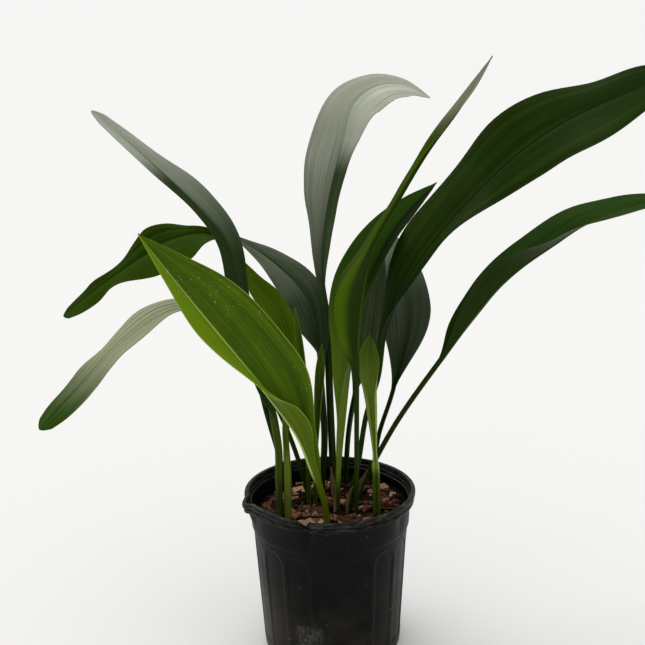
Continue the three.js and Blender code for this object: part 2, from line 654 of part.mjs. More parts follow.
// Closes rings of points into a body, its two faces split by the same diagonals
function loftGeometry(points, ringSize, ringCount) {
  const faces = [];
  const columns = ringSize / 2;
  for (let i = 0; i < ringCount - 1; i += 1) {
    for (let j = 0; j < ringSize; j += 1) {
      const next = (j + 1) % ringSize;
      const a = i * ringSize + j;
      const b = i * ringSize + next;
      const c = a + ringSize;
      const d = b + ringSize;
      if (j < columns) {
        faces.push(a, d, b);
        faces.push(a, c, d);
      } else {
        faces.push(a, c, b);
        faces.push(b, c, d);
      }
    }
  }
  const closeEnd = (ring, outward) => {
    for (let j = 0; j < columns - 1; j += 1) {
      const a = ring + j;
      const b = ring + j + 1;
      const c = ring + ringSize - 1 - j;
      const d = ring + ringSize - 2 - j;
      if (outward) faces.push(a, d, b, a, c, d);
      else faces.push(a, b, d, a, d, c);
    }
  };
  closeEnd(0, false);
  closeEnd((ringCount - 1) * ringSize, true);
  return meshGeometry(points.map((p) => [p.x, p.y, p.z]), faces);
}

const plant = new THREE.Group();
plant.name = 'potted_cast_iron_plant';
plant.add(buildPot());
plant.add(buildSoil([...LEAVES, ...YOUNG_LEAVES, ...SHEATHS]));
for (const leaf of LEAVES) plant.add(buildLeaf(leaf, BROAD_DIVISION));
for (const leaf of YOUNG_LEAVES) plant.add(buildLeaf(leaf, ROLLED_DIVISION));
for (const sheath of SHEATHS) plant.add(buildLeaf(sheath, SHEATH_DIVISION));

export default plant;
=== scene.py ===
"""Looks of a potted cast iron plant: strap leaves, bark soil and a round nursery pot.

Sizes are typed in millimetres, as in the part's source, and every finished mesh is in metres. The origin is
the centre of the pot's flat underside, +X is the viewer's right and +Y points away from the viewer.
"""

import bisect
import logging
import math
import random
from dataclasses import dataclass, replace
from enum import Enum
from functools import partial
from typing import Sequence

import bmesh
import bpy
from mathutils import Matrix, Vector, noise


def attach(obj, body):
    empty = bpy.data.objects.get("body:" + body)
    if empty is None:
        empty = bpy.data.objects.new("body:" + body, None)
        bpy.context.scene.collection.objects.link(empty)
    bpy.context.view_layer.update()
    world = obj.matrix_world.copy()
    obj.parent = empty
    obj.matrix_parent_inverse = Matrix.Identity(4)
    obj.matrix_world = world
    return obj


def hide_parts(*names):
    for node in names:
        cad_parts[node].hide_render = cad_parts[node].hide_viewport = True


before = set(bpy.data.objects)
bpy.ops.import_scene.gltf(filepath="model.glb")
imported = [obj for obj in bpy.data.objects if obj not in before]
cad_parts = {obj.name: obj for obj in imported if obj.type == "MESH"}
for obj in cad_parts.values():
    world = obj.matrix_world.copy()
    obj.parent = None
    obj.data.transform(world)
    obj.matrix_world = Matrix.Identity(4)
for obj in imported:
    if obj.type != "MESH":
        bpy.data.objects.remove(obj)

LOG = logging.getLogger("potted_plant")
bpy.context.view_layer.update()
MM = 0.001
LEAF_UV = "leaf"
TONE = "tone"

Colour = tuple[float, float, float]
Keys = Sequence[float]
Point = tuple[float, float, float]
Socket = bpy.types.NodeSocket
Material = bpy.types.Material
Body = bmesh.types.BMesh
Piece = bpy.types.Object


def smooth(t: float) -> float:
    """Eases from 0 to 1 as t goes from 0 to 1."""
    x = min(max(t, 0.0), 1.0)
    return x * x * (3 - 2 * x)


def lerp(a: float, b: float, t: float) -> float:
    """Goes straight from a to b."""
    return a + (b - a) * t


def keyed(keys: Keys, q: float) -> float:
    """Reads a value from evenly spaced keys, eased from one to the next.

    Args:
        keys: The values from the start to the end.
        q: The place, from 0 to 1.

    Returns:
        The value there.
    """
    place = min(max(q, 0.0), 1.0) * (len(keys) - 1)
    i = min(int(place), len(keys) - 2)
    return lerp(keys[i], keys[i + 1], smooth(place - i))


def flowing(keys: Keys, q: float) -> float:
    """Reads a value from evenly spaced keys, on a smooth line through them.

    Args:
        keys: The values from the start to the end.
        q: The place, from 0 to 1.

    Returns:
        The value there.
    """
    last = len(keys) - 1
    place = min(max(q, 0.0), 1.0) * last
    i = min(int(place), last - 1)
    t = place - i
    start, end = ((keys[min(k + 1, last)] - keys[max(k - 1, 0)]) / 2 for k in (i, i + 1))
    step = keys[i + 1] - keys[i]
    return keys[i] + start * t + (3 * step - 2 * start - end) * t * t + (start + end - 2 * step) * t ** 3


def shaded(colour: Colour, share: float) -> Colour:
    """Darkens a colour to a share of its light."""
    return tuple(share * c for c in colour)


def softened(profile: Sequence[Point], steps: int = 4) -> list[tuple[float, float]]:
    """Rounds the corners of a turned profile.

    Args:
        profile: Radius, height and corner radius of each point.
        steps: How many points a rounded corner takes.

    Returns:
        Radius and height of each point of the rounded profile.
    """
    points: list[tuple[float, float]] = []
    for i, (r, z, corner) in enumerate(profile):
        if corner == 0 or i in (0, len(profile) - 1):
            points.append((r, z))
            continue
        here = Vector((r, z))
        before = here + (Vector(profile[i - 1][:2]) - here).normalized() * corner
        after = here + (Vector(profile[i + 1][:2]) - here).normalized() * corner
        for k in range(steps):
            t = k / (steps - 1)
            p = before * (1 - t) ** 2 + here * 2 * t * (1 - t) + after * t * t
            points.append((p.x, p.y))
    return points


def turned(profile: Sequence[tuple[float, float]], sides: int) -> Body:
    """Spins a profile that starts and ends on the axis into a closed body.

    Args:
        profile: Radius and height of each point, in millimetres.
        sides: How many steps a full turn takes.

    Returns:
        The turned body.
    """
    bm = bmesh.new()
    verts = [bm.verts.new((r, 0, z)) for r, z in profile]
    for a, b in zip(verts, verts[1:]):
        bm.edges.new((a, b))
    bmesh.ops.spin(
        bm, geom=bm.verts[:] + bm.edges[:], cent=(0, 0, 0), axis=(0, 0, 1), dvec=(0, 0, 0),
        angle=2 * math.pi, steps=sides, use_merge=True, use_duplicate=False,
    )
    bmesh.ops.remove_doubles(bm, verts=bm.verts[:], dist=1e-4)
    return bm


def finished(bm: Body, name: str, sharp: float = 40.0) -> Piece:
    """Turns a bmesh in millimetres into a smooth-shaded piece of the object, in metres.

    Args:
        bm: The shape, which is freed.
        name: The piece's name.
        sharp: Edges that turn by more degrees than this stay crisp.

    Returns:
        The piece, with its place in its mesh.
    """
    bmesh.ops.recalc_face_normals(bm, faces=bm.faces[:])
    bmesh.ops.scale(bm, vec=(MM, MM, MM), verts=bm.verts[:])
    for face in bm.faces:
        face.smooth = True
    for edge in bm.edges:
        if edge.calc_face_angle(0.0) > math.radians(sharp):
            edge.smooth = False
    mesh = bpy.data.meshes.new(name)
    bm.to_mesh(mesh)
    bm.free()
    piece = bpy.data.objects.new(name, mesh)
    bpy.context.scene.collection.objects.link(piece)
    return piece


def adopt(piece: Piece, node: str) -> None:
    """Lets a piece ride on the plant's one body and stand for a CAD node.

    Args:
        piece: The finished piece.
        node: The CAD node that it stands for.
    """
    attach(piece, "root")
    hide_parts(node)
    LOG.info("%s: %d faces, for %s", piece.name, len(piece.data.polygons), node)


class NodeSheet:
    """The node tree of one material, with a short call for each kind of node that the finishes use."""

    def __init__(self, name: str) -> None:
        """Starts a material whose surface is one Principled shader.

        Args:
            name: The material's name.
        """
        self.material = bpy.data.materials.new(name)
        self.material.use_nodes = True
        self.tree = self.material.node_tree
        self.tree.nodes.clear()
        output = self.tree.nodes.new("ShaderNodeOutputMaterial")
        self.shader = self.tree.nodes.new("ShaderNodeBsdfPrincipled")
        self.tree.links.new(self.shader.outputs["BSDF"], output.inputs["Surface"])

    def feed(self, socket: Socket, value: object) -> None:
        """Links a socket to another one, or sets its constant."""
        if isinstance(value, Socket):
            self.tree.links.new(value, socket)
        elif isinstance(value, tuple) and socket.type == "RGBA":
            socket.default_value = (*value, 1.0)
        else:
            socket.default_value = value

    def shade(self, **values: object) -> None:
        """Feeds the shader's sockets, named with underscores for spaces."""
        for name, value in values.items():
            self.feed(self.shader.inputs[name.replace("_", " ").title().replace("Ior", "IOR")], value)

    def node(self, kind: str, inputs: dict, **settings: object) -> bpy.types.Node:
        """Adds a node.

        Args:
            kind: The node's type.
            inputs: What each of its sockets gets, by name or number.
            settings: Its other properties.

        Returns:
            The new node.
        """
        node = self.tree.nodes.new(kind)
        for key, value in settings.items():
            setattr(node, key, value)
        for key, value in inputs.items():
            self.feed(node.inputs[key], value)
        return node

    def math(self, operation: str, a: object, b: object = 0.0, c: object = 0.0) -> Socket:
        """Works out one operation on up to three numbers."""
        return self.node("ShaderNodeMath", {0: a, 1: b, 2: c}, operation=operation).outputs[0]

    def sum(self, a: object, b: object) -> Socket:
        """Adds two numbers."""
        return self.math("ADD", a, b)

    def times(self, a: object, b: object) -> Socket:
        """Multiplies two numbers."""
        return self.math("MULTIPLY", a, b)

    def band(self, value: Socket, low: float, high: float, top: float = 1.0) -> Socket:
        """Eases from 0 at low to top at high. Low may be above high."""
        inputs = {"Value": value, "From Min": low, "From Max": high, "To Max": top}
        return self.node("ShaderNodeMapRange", inputs, interpolation_type="SMOOTHSTEP").outputs[0]

    def mix(self, factor: object, a: object, b: object) -> Socket:
        """Mixes two colours."""
        return self.node("ShaderNodeMix", {0: factor, 6: a, 7: b}, data_type="RGBA").outputs[2]

    def noise(self, vector: Socket, scale: float, detail: float = 3.0, rough: float = 0.5) -> Socket:
        """Reads soft noise around 0.5."""
        inputs = {"Vector": vector, "Scale": scale, "Detail": detail, "Roughness": rough}
        return self.node("ShaderNodeTexNoise", inputs).outputs[0]

    def dots(self, vector: Socket, scale: float, size: float) -> Socket:
        """Reads 1 inside scattered dots and 0 outside."""
        cells = self.node("ShaderNodeTexVoronoi", {"Vector": vector, "Scale": scale})
        return self.band(cells.outputs["Distance"], size, size * 0.6)

    def ramp(self, factor: Socket, stops: Sequence[tuple[float, Colour]]) -> Socket:
        """Reads a colour from a ramp of places and colours."""
        node = self.node("ShaderNodeValToRGB", {0: factor})
        elements = node.color_ramp.elements
        while len(elements) < len(stops):
            elements.new(1.0)
        for element, (place, colour) in zip(elements, stops):
            element.position = place
            element.color = (*colour, 1.0)
        return node.outputs[0]

    def position(self) -> Socket:
        """Reads the place on the piece in metres."""
        return self.node("ShaderNodeTexCoord", {}).outputs["Object"]

    def split(self, vector: Socket) -> bpy.types.NodeOutputs:
        """Splits a vector into its three numbers."""
        return self.node("ShaderNodeSeparateXYZ", {0: vector}).outputs

    def join(self, x: object, y: object, z: object) -> Socket:
        """Joins three numbers into a vector."""
        return self.node("ShaderNodeCombineXYZ", {0: x, 1: y, 2: z}).outputs[0]

    def leaf_place(self) -> tuple[Socket, Socket]:
        """Reads the place across and along a leaf, each from 0 to 1."""
        across, along, _ = self.split(self.node("ShaderNodeUVMap", {}, uv_map=LEAF_UV).outputs[0])
        return across, along

    def streaks(
        self, where: tuple[Socket, Socket, float], scale: tuple[float, float], detail: float = 3.0,
        rough: float = 0.5,
    ) -> Socket:
        """Reads noise that is drawn out along a leaf.

        Args:
            where: The place across and along the leaf, and the leaf's seed.
            scale: How fine the streaks are across and along.
            detail: How many finer layers the noise has.
            rough: How strong those layers are.

        Returns:
            Noise around 0.5.
        """
        across, along, seed = where
        place = self.join(self.times(across, scale[0]), self.times(along, scale[1]), seed)
        return self.noise(place, 1.0, detail, rough)

    def upness(self) -> Socket:
        """Reads how far the surface looks up, from -1 to 1."""
        return self.split(self.node("ShaderNodeNewGeometry", {}).outputs["Normal"])[2]

    def bump(self, height: Socket, depth: float, strength: float) -> None:
        """Raises the surface by a height from 0 to 1, whose full depth is in metres."""
        inputs = {"Height": height, "Distance": depth, "Strength": strength}
        self.shade(normal=self.node("ShaderNodeBump", inputs).outputs[0])


class LeafSide(Enum):
    """The two faces of a leaf, by the number of their material slot."""

    UPPER = 0
    LOWER = 1


@dataclass(frozen=True)
class LeafFinish:
    """Colour and gloss of one leaf.

    Lengths along the leaf are shares of the blade, and colours are linear. Halves are -1 or 1, as the sign of
    u in Leaf.section, and 0 for both: pale_half is lighter by pale_shift, and the grey bloom, a painted
    reflection of the bright sky, keeps to sheen_half up to sheen_from along the blade. Noise from low to high
    in tones goes from upper to pale. The painted bloom lies where the face looks up by sheen_rise, grows over
    sheen_grows and fades over sheen_fades. foot is the colour below the blade where it isn't the stem's.
    """

    slot: str
    upper: Colour
    pale: Colour
    lower: Colour
    midrib: Colour
    stem: Colour
    lower_edge: Colour | None = None
    foot: Colour | None = None
    stem_reach: float = 0.12
    midrib_width: float = 0.05
    pale_half: int = 0
    pale_shift: float = 0.2
    tones: tuple[float, float] = (0.38, 0.66)
    # Painted sheen: a grey film that stands for the sky's reflection, laid where the upper face looks up.
    sheen: float = 0.0
    sheen_colour: Colour = (0.24, 0.255, 0.19)
    sheen_rise: tuple[float, float] = (-0.15, 0.75)
    sheen_grows: tuple[float, float] = (-1.0, -0.9)
    sheen_fades: tuple[float, float] = (2.0, 1.9)
    sheen_half: int = 0
    sheen_from: float = 1.0
    roughness: float = 0.45
    specular: float = 0.04
    specks: float = 0.0
    veins: int = 26
    vein_show: float = 0.14
    grooves: float = 0.0

    BROAD_STREAKS = (9.0, 1.6)
    FINE_STREAKS = (110.0, 2.6)
    GROOVE_STREAKS = (34.0, 1.3)
    PATCH_SCALE = 14.0
    VEIN_BEND = 14.0
    BROAD_SHARE = 0.72
    DARK_SHARE = 0.72
    SPECK_COLOUR = (0.42, 0.46, 0.28)
    SPECK_SCALE = 190.0
    LOWER_SPECULAR = 0.03
    RELIEF = 0.0009

    def material(self, name: str, side: LeafSide, blade: float, seed: float) -> Material:
        """Makes the material of one face of a leaf.

        Args:
            name: The material's name.
            side: Which face it is for.
            blade: The share of the leaf's length where its blade starts.
            seed: Sets this leaf's pattern apart from its neighbours'.

        Returns:
            The material.
        """
        sheet = NodeSheet(name)
        across, along = sheet.leaf_place()
        where = (across, along, seed)
        q = sheet.node("ShaderNodeMapRange", {"Value": along, "From Min": blade, "From Max": 1.0}).outputs[0]
        from_midrib = sheet.times(sheet.math("ABSOLUTE", sheet.math("SUBTRACT", across, 0.5)), 2.0)
        broad = sheet.streaks(where, self.BROAD_STREAKS)
        fine = sheet.streaks(where, self.FINE_STREAKS, 2.0, 0.6)
        phase = sheet.sum(sheet.times(across, 2 * math.pi * self.veins), sheet.times(broad, self.VEIN_BEND))
        ribs = sheet.math("MULTIPLY_ADD", sheet.math("SINE", phase), 0.5, 0.5)
        patches = sheet.noise(sheet.position(), self.PATCH_SCALE, 3.0, 0.55)
        if side is LeafSide.UPPER:
            colour = self.upper_colour(sheet, across, broad, patches)
        else:
            colour = self.lower_colour(sheet, from_midrib, broad)
        vein = sheet.times(sheet.sum(sheet.times(ribs, 0.2), fine), self.vein_show)
        colour = sheet.mix(vein, colour, self.midrib)
        dark_lines = sheet.band(fine, 0.46, 0.34, 3.2 * self.vein_show)
        colour = sheet.mix(dark_lines, colour, shaded(self.upper, 0.5))
        thinning = sheet.math("DIVIDE", from_midrib, sheet.math("SUBTRACT", 1.3, q))
        core = sheet.band(thinning, self.midrib_width, 0.35 * self.midrib_width, 0.95)
        colour = sheet.mix(core, colour, self.midrib)
        # Painted sky reflection: the upper face takes the grey film where it looks up.
        if self.sheen and side is LeafSide.UPPER:
            colour = sheet.mix(self.sheen_share(sheet, across, q, fine), colour, self.sheen_colour)
        if self.grooves:
            groove = sheet.band(sheet.streaks(where, self.GROOVE_STREAKS, 1.0), 0.46, 0.36, self.grooves)
            colour = sheet.mix(groove, colour, shaded(self.upper, 0.8))
        colour = sheet.mix(sheet.band(from_midrib, 0.965, 1.0, 0.45), colour, self.midrib)
        if self.specks:
            spotty = sheet.band(patches, 0.45, 0.58, self.specks)
            spots = sheet.times(sheet.dots(sheet.position(), self.SPECK_SCALE, 0.13), spotty)
            colour = sheet.mix(spots, colour, self.SPECK_COLOUR)
        stem_colour = sheet.mix(sheet.band(fine, 0.3, 0.7), self.stem, shaded(self.stem, 0.62))
        colour = sheet.mix(sheet.band(q, self.stem_reach, 0.4 * self.stem_reach), colour, stem_colour)
        if self.foot:
            colour = sheet.mix(sheet.band(along, blade + 0.02, blade - 0.05), colour, self.foot)
        gloss = sheet.math("MULTIPLY_ADD", fine, 0.12, self.roughness - 0.06)
        shine = self.specular if side is LeafSide.UPPER else self.LOWER_SPECULAR
        sheet.shade(base_color=colour, roughness=gloss, specular_ior_level=shine)
        streaked = sheet.sum(sheet.times(fine, 0.5), broad)
        sheet.bump(sheet.sum(sheet.times(ribs, 0.09), streaked), self.RELIEF, 0.5)
        return sheet.material

    def upper_colour(self, sheet: NodeSheet, across: Socket, broad: Socket, patches: Socket) -> Socket:
        """Mottles the upper face between its two greens."""
        tone = sheet.sum(sheet.times(broad, self.BROAD_SHARE), sheet.times(patches, 1 - self.BROAD_SHARE))
        if self.pale_half:
            tone = sheet.sum(tone, self.on_half(sheet, across, self.pale_half, self.pale_shift))
        return sheet.mix(sheet.band(tone, *self.tones), self.upper, self.pale)

    def lower_colour(self, sheet: NodeSheet, from_midrib: Socket, broad: Socket) -> Socket:
        """Streaks the lower face, and lightens its edge where the leaf has such an edge."""
        colour = sheet.mix(sheet.band(broad, 0.3, 0.7), shaded(self.lower, self.DARK_SHARE), self.lower)
        if self.lower_edge:
            colour = sheet.mix(sheet.band(from_midrib, 0.3, 0.8), colour, self.lower_edge)
        return colour

    def sheen_share(self, sheet: NodeSheet, across: Socket, q: Socket, fine: Socket) -> Socket:
        """Works out how thick the grey bloom, a painted reflection of the sky, lies.

        Args:
            sheet: The material's nodes.
            across: The place across the leaf, from 0 to 1.
            q: The place along the blade.
            fine: The leaf's fine streaks.

        Returns:
            The share of the painted bloom's colour.
        """
        rising = sheet.band(sheet.upness(), *self.sheen_rise, self.sheen)
        sheen_share = sheet.times(rising, sheet.band(fine, 0.15, 0.6))
        if self.sheen_half:
            this_half = self.on_half(sheet, across, self.sheen_half)
            beyond = sheet.band(q, self.sheen_from, self.sheen_from + 0.12)
            sheen_share = sheet.times(sheen_share, sheet.math("MAXIMUM", this_half, beyond))
        sheen_share = sheet.times(sheen_share, sheet.band(q, *self.sheen_grows))
        return sheet.times(sheen_share, sheet.band(q, *self.sheen_fades))

    @staticmethod
    def on_half(sheet: NodeSheet, across: Socket, half: int, top: float = 1.0) -> Socket:
        """Reads top on one half of the leaf and 0 on the other."""
        off_middle = sheet.times(sheet.math("SUBTRACT", across, 0.5), half)
        return sheet.band(off_middle, -0.02, 0.02, top)


@dataclass(frozen=True)
class DrySheathFinish:
    """Papery dried sheath: tan, with fine lengthwise fibres and darker ends."""

    slot: str = "dry_sheath"
    light: Colour = (0.2, 0.15, 0.055)
    dark: Colour = (0.028, 0.02, 0.006)
    roughness: float = 0.7

    FIBRES = (18.0, 2.0)
    LOWER_ROUGHNESS = 0.92
    RELIEF = 0.0008

    def material(self, name: str, side: LeafSide, blade: float, seed: float) -> Material:
        """Makes the material of one face of a sheath, as LeafFinish.material does."""
        sheet = NodeSheet(name)
        across, along = sheet.leaf_place()
        fibres = sheet.streaks((across, along, seed), self.FIBRES, 4.0, 0.6)
        colour = sheet.mix(sheet.band(fibres, 0.3, 0.68), self.dark, self.light)
        colour = sheet.mix(sheet.band(along, blade + 0.1, 1.0, 0.3), colour, self.dark)
        share = 1.0 if side is LeafSide.UPPER else self.LOWER_ROUGHNESS
        sheet.shade(base_color=colour, roughness=self.roughness * share, specular_ior_level=0.1)
        sheet.bump(fibres, self.RELIEF, 0.7)
        return sheet.material


DARK = LeafFinish(
    slot="leaf_dark", upper=(0.009, 0.026, 0.001), pale=(0.022, 0.046, 0.004), lower=(0.014, 0.027, 0.003),
    midrib=(0.055, 0.09, 0.012), stem=(0.018, 0.042, 0.003),
)
BROAD = replace(
    DARK, upper=(0.01, 0.029, 0.001), pale=(0.026, 0.052, 0.004), midrib=(0.004, 0.011, 0.001),
    midrib_width=0.026,
)
ARCHING = replace(
    DARK, upper=(0.006, 0.024, 0.0), pale=(0.026, 0.058, 0.002), lower=(0.01, 0.024, 0.001),
    midrib=(0.055, 0.095, 0.012), vein_show=0.18, specular=0.01, pale_half=1,
)
LOW_RIGHT = replace(
    DARK, upper=(0.01, 0.038, 0.001), pale=(0.022, 0.058, 0.002), lower=(0.017, 0.032, 0.004),
    midrib=(0.04, 0.075, 0.01), vein_show=0.18, specular=0.02,
)
# Painted light: the film lays a lighter green on one half of a near-black upper face, and the stem colour is
# brighter than the stem's own green, painted light over the shaded fold at the leaf's foot.
LIGHT_FOOTED = replace(
    DARK, upper=(0.003, 0.009, 0.001), pale=(0.009, 0.02, 0.003), lower=(0.038, 0.066, 0.006),
    midrib=(0.03, 0.05, 0.008), stem=(0.16, 0.26, 0.02), stem_reach=0.66, foot=(0.035, 0.062, 0.004),
    specular=0.02, sheen=1.0, sheen_half=1, sheen_from=2.0, sheen_colour=(0.022, 0.066, 0.004),
    sheen_rise=(-1.1, -1.0),
)
# Painted sheen: these leaves take a grey film of painted sky reflection on faces that look up.
SHEENED = replace(
    DARK, upper=(0.015, 0.034, 0.005), pale=(0.032, 0.056, 0.013), lower=(0.012, 0.026, 0.003),
    midrib=(0.05, 0.08, 0.022), stem=(0.02, 0.042, 0.003), sheen=0.85, roughness=0.4, specular=0.12,
)
UPPER_LEFT = replace(
    SHEENED, upper=(0.01, 0.03, 0.002), pale=(0.02, 0.046, 0.005), stem=(0.058, 0.09, 0.003), sheen=1.0,
    sheen_half=-1, sheen_from=0.74, sheen_colour=(0.56, 0.6, 0.49), sheen_rise=(-0.5, 0.35),
    sheen_grows=(0.46, 1.0),
)
TALL = replace(
    SHEENED, sheen=1.0, sheen_half=1, sheen_from=0.46, sheen_colour=(0.56, 0.585, 0.48),
    sheen_rise=(-0.5, 0.5), sheen_grows=(-0.2, 1.12),
)
LOW_LEFT = replace(
    SHEENED, upper=(0.016, 0.046, 0.001), pale=(0.045, 0.11, 0.003), grooves=0.95, specular=0.05,
    sheen=0.95, sheen_colour=(0.335, 0.36, 0.22), sheen_fades=(0.93, 0.6),
)
BLUISH = replace(
    DARK, upper=(0.011, 0.027, 0.005), pale=(0.032, 0.062, 0.017), lower=(0.012, 0.022, 0.005),
    midrib=(0.05, 0.065, 0.03), sheen=0.45, sheen_colour=(0.12, 0.145, 0.1), roughness=0.38, specular=0.15,
    vein_show=0.22,
)
HAZY = replace(
    BLUISH, sheen=0.9, sheen_colour=(0.115, 0.135, 0.105), sheen_grows=(-0.1, 1.0), vein_show=0.26,
)
RIBBED = replace(BLUISH, upper=(0.034, 0.064, 0.012), pale=(0.1, 0.16, 0.04), vein_show=0.4, veins=20)
MISTY = replace(BLUISH, sheen=0.95, sheen_colour=(0.17, 0.2, 0.14), sheen_grows=(0.15, 0.8))
BRIGHT = LeafFinish(
    slot="leaf_bright", upper=(0.016, 0.055, 0.0), pale=(0.126, 0.222, 0.001), lower=(0.085, 0.145, 0.001),
    midrib=(0.42, 0.54, 0.12), midrib_width=0.062, stem=(0.1, 0.15, 0.004), stem_reach=0.1, specks=1.0,
    vein_show=0.09, pale_half=1, pale_shift=0.42, tones=(0.25, 0.95), specular=0.01,
)
INNER_LEFT = replace(
    BRIGHT, upper=(0.042, 0.095, 0.001), pale=(0.085, 0.15, 0.003), midrib=(0.2, 0.26, 0.05),
    stem=(0.15, 0.21, 0.025), specks=0.4, pale_half=0, tones=(0.38, 0.66),
)
LIGHT_BELLY = LeafFinish(
    slot="leaf_bright", upper=(0.036, 0.07, 0.006), pale=(0.05, 0.09, 0.01), lower=(0.018, 0.036, 0.002),
    lower_edge=(0.066, 0.13, 0.001), midrib=(0.036, 0.062, 0.005), midrib_width=0.03,
    stem=(0.022, 0.044, 0.004), stem_reach=0.1, sheen=1.0, sheen_colour=(0.24, 0.265, 0.175),
    sheen_rise=(-1.1, -1.0), sheen_grows=(0.72, 0.86),
)
YOUNG = LeafFinish(
    slot="leaf_young", upper=(0.045, 0.095, 0.003), pale=(0.09, 0.15, 0.008), lower=(0.068, 0.135, 0.002),
    midrib=(0.16, 0.23, 0.04), stem=(0.32, 0.43, 0.07), stem_reach=1.0, foot=(0.06, 0.105, 0.006), veins=12,
)
SHOOT = replace(YOUNG, stem=(0.09, 0.14, 0.015), stem_reach=0.35)
DRY = DrySheathFinish()
OLIVE = DrySheathFinish(light=(0.06, 0.085, 0.012), dark=(0.02, 0.032, 0.005))


class Spine:
    """A centripetal Catmull-Rom line through a leaf's points, read by its length."""

    SAMPLES = 400

    def __init__(self, points: Sequence[Point]) -> None:
        """Measures the line.

        Args:
            points: The points that it passes, in millimetres.
        """
        inner = [Vector(p) for p in points]
        self.points = [2 * inner[0] - inner[1], *inner, 2 * inner[-1] - inner[-2]]
        self.spans = len(inner) - 1
        walked = [0.0]
        last = self.at(0.0)
        for i in range(1, self.SAMPLES + 1):
            here = self.at(i / self.SAMPLES)
            walked.append(walked[-1] + (here - last).length)
            last = here
        self.length = walked[-1]
        self.walked = walked

    def at(self, t: float) -> Vector:
        """Finds the point at t, where each span takes the same share."""
        place = min(max(t, 0.0), 1.0) * self.spans
        i = min(int(place), self.spans - 1)
        w = place - i
        a, b, c, d = self.points[i:i + 4]
        first, middle, last = ((q - p).length ** 0.5 for p, q in ((a, b), (b, c), (c, d)))
        start = ((b - a) / first - (c - a) / (first + middle) + (c - b) / middle) * middle
        end = ((c - b) / middle - (d - b) / (middle + last) + (d - c) / last) * middle
        return b + start * w + (3 * (c - b) - 2 * start - end) * w * w + (2 * (b - c) + start + end) * w ** 3

    def walk(self, s: float) -> tuple[Vector, Vector]:
        """Finds a place by length.

        Args:
            s: The share of the length.

        Returns:
            The point there and the direction along the line.
        """
        target = s * self.length
        i = min(max(bisect.bisect_right(self.walked, target) - 1, 0), self.SAMPLES - 1)
        part = (target - self.walked[i]) / (self.walked[i + 1] - self.walked[i])
        t = (i + part) / self.SAMPLES
        step = 1e-3
        return self.at(t), (self.at(t + step) - self.at(t - step)).normalized()


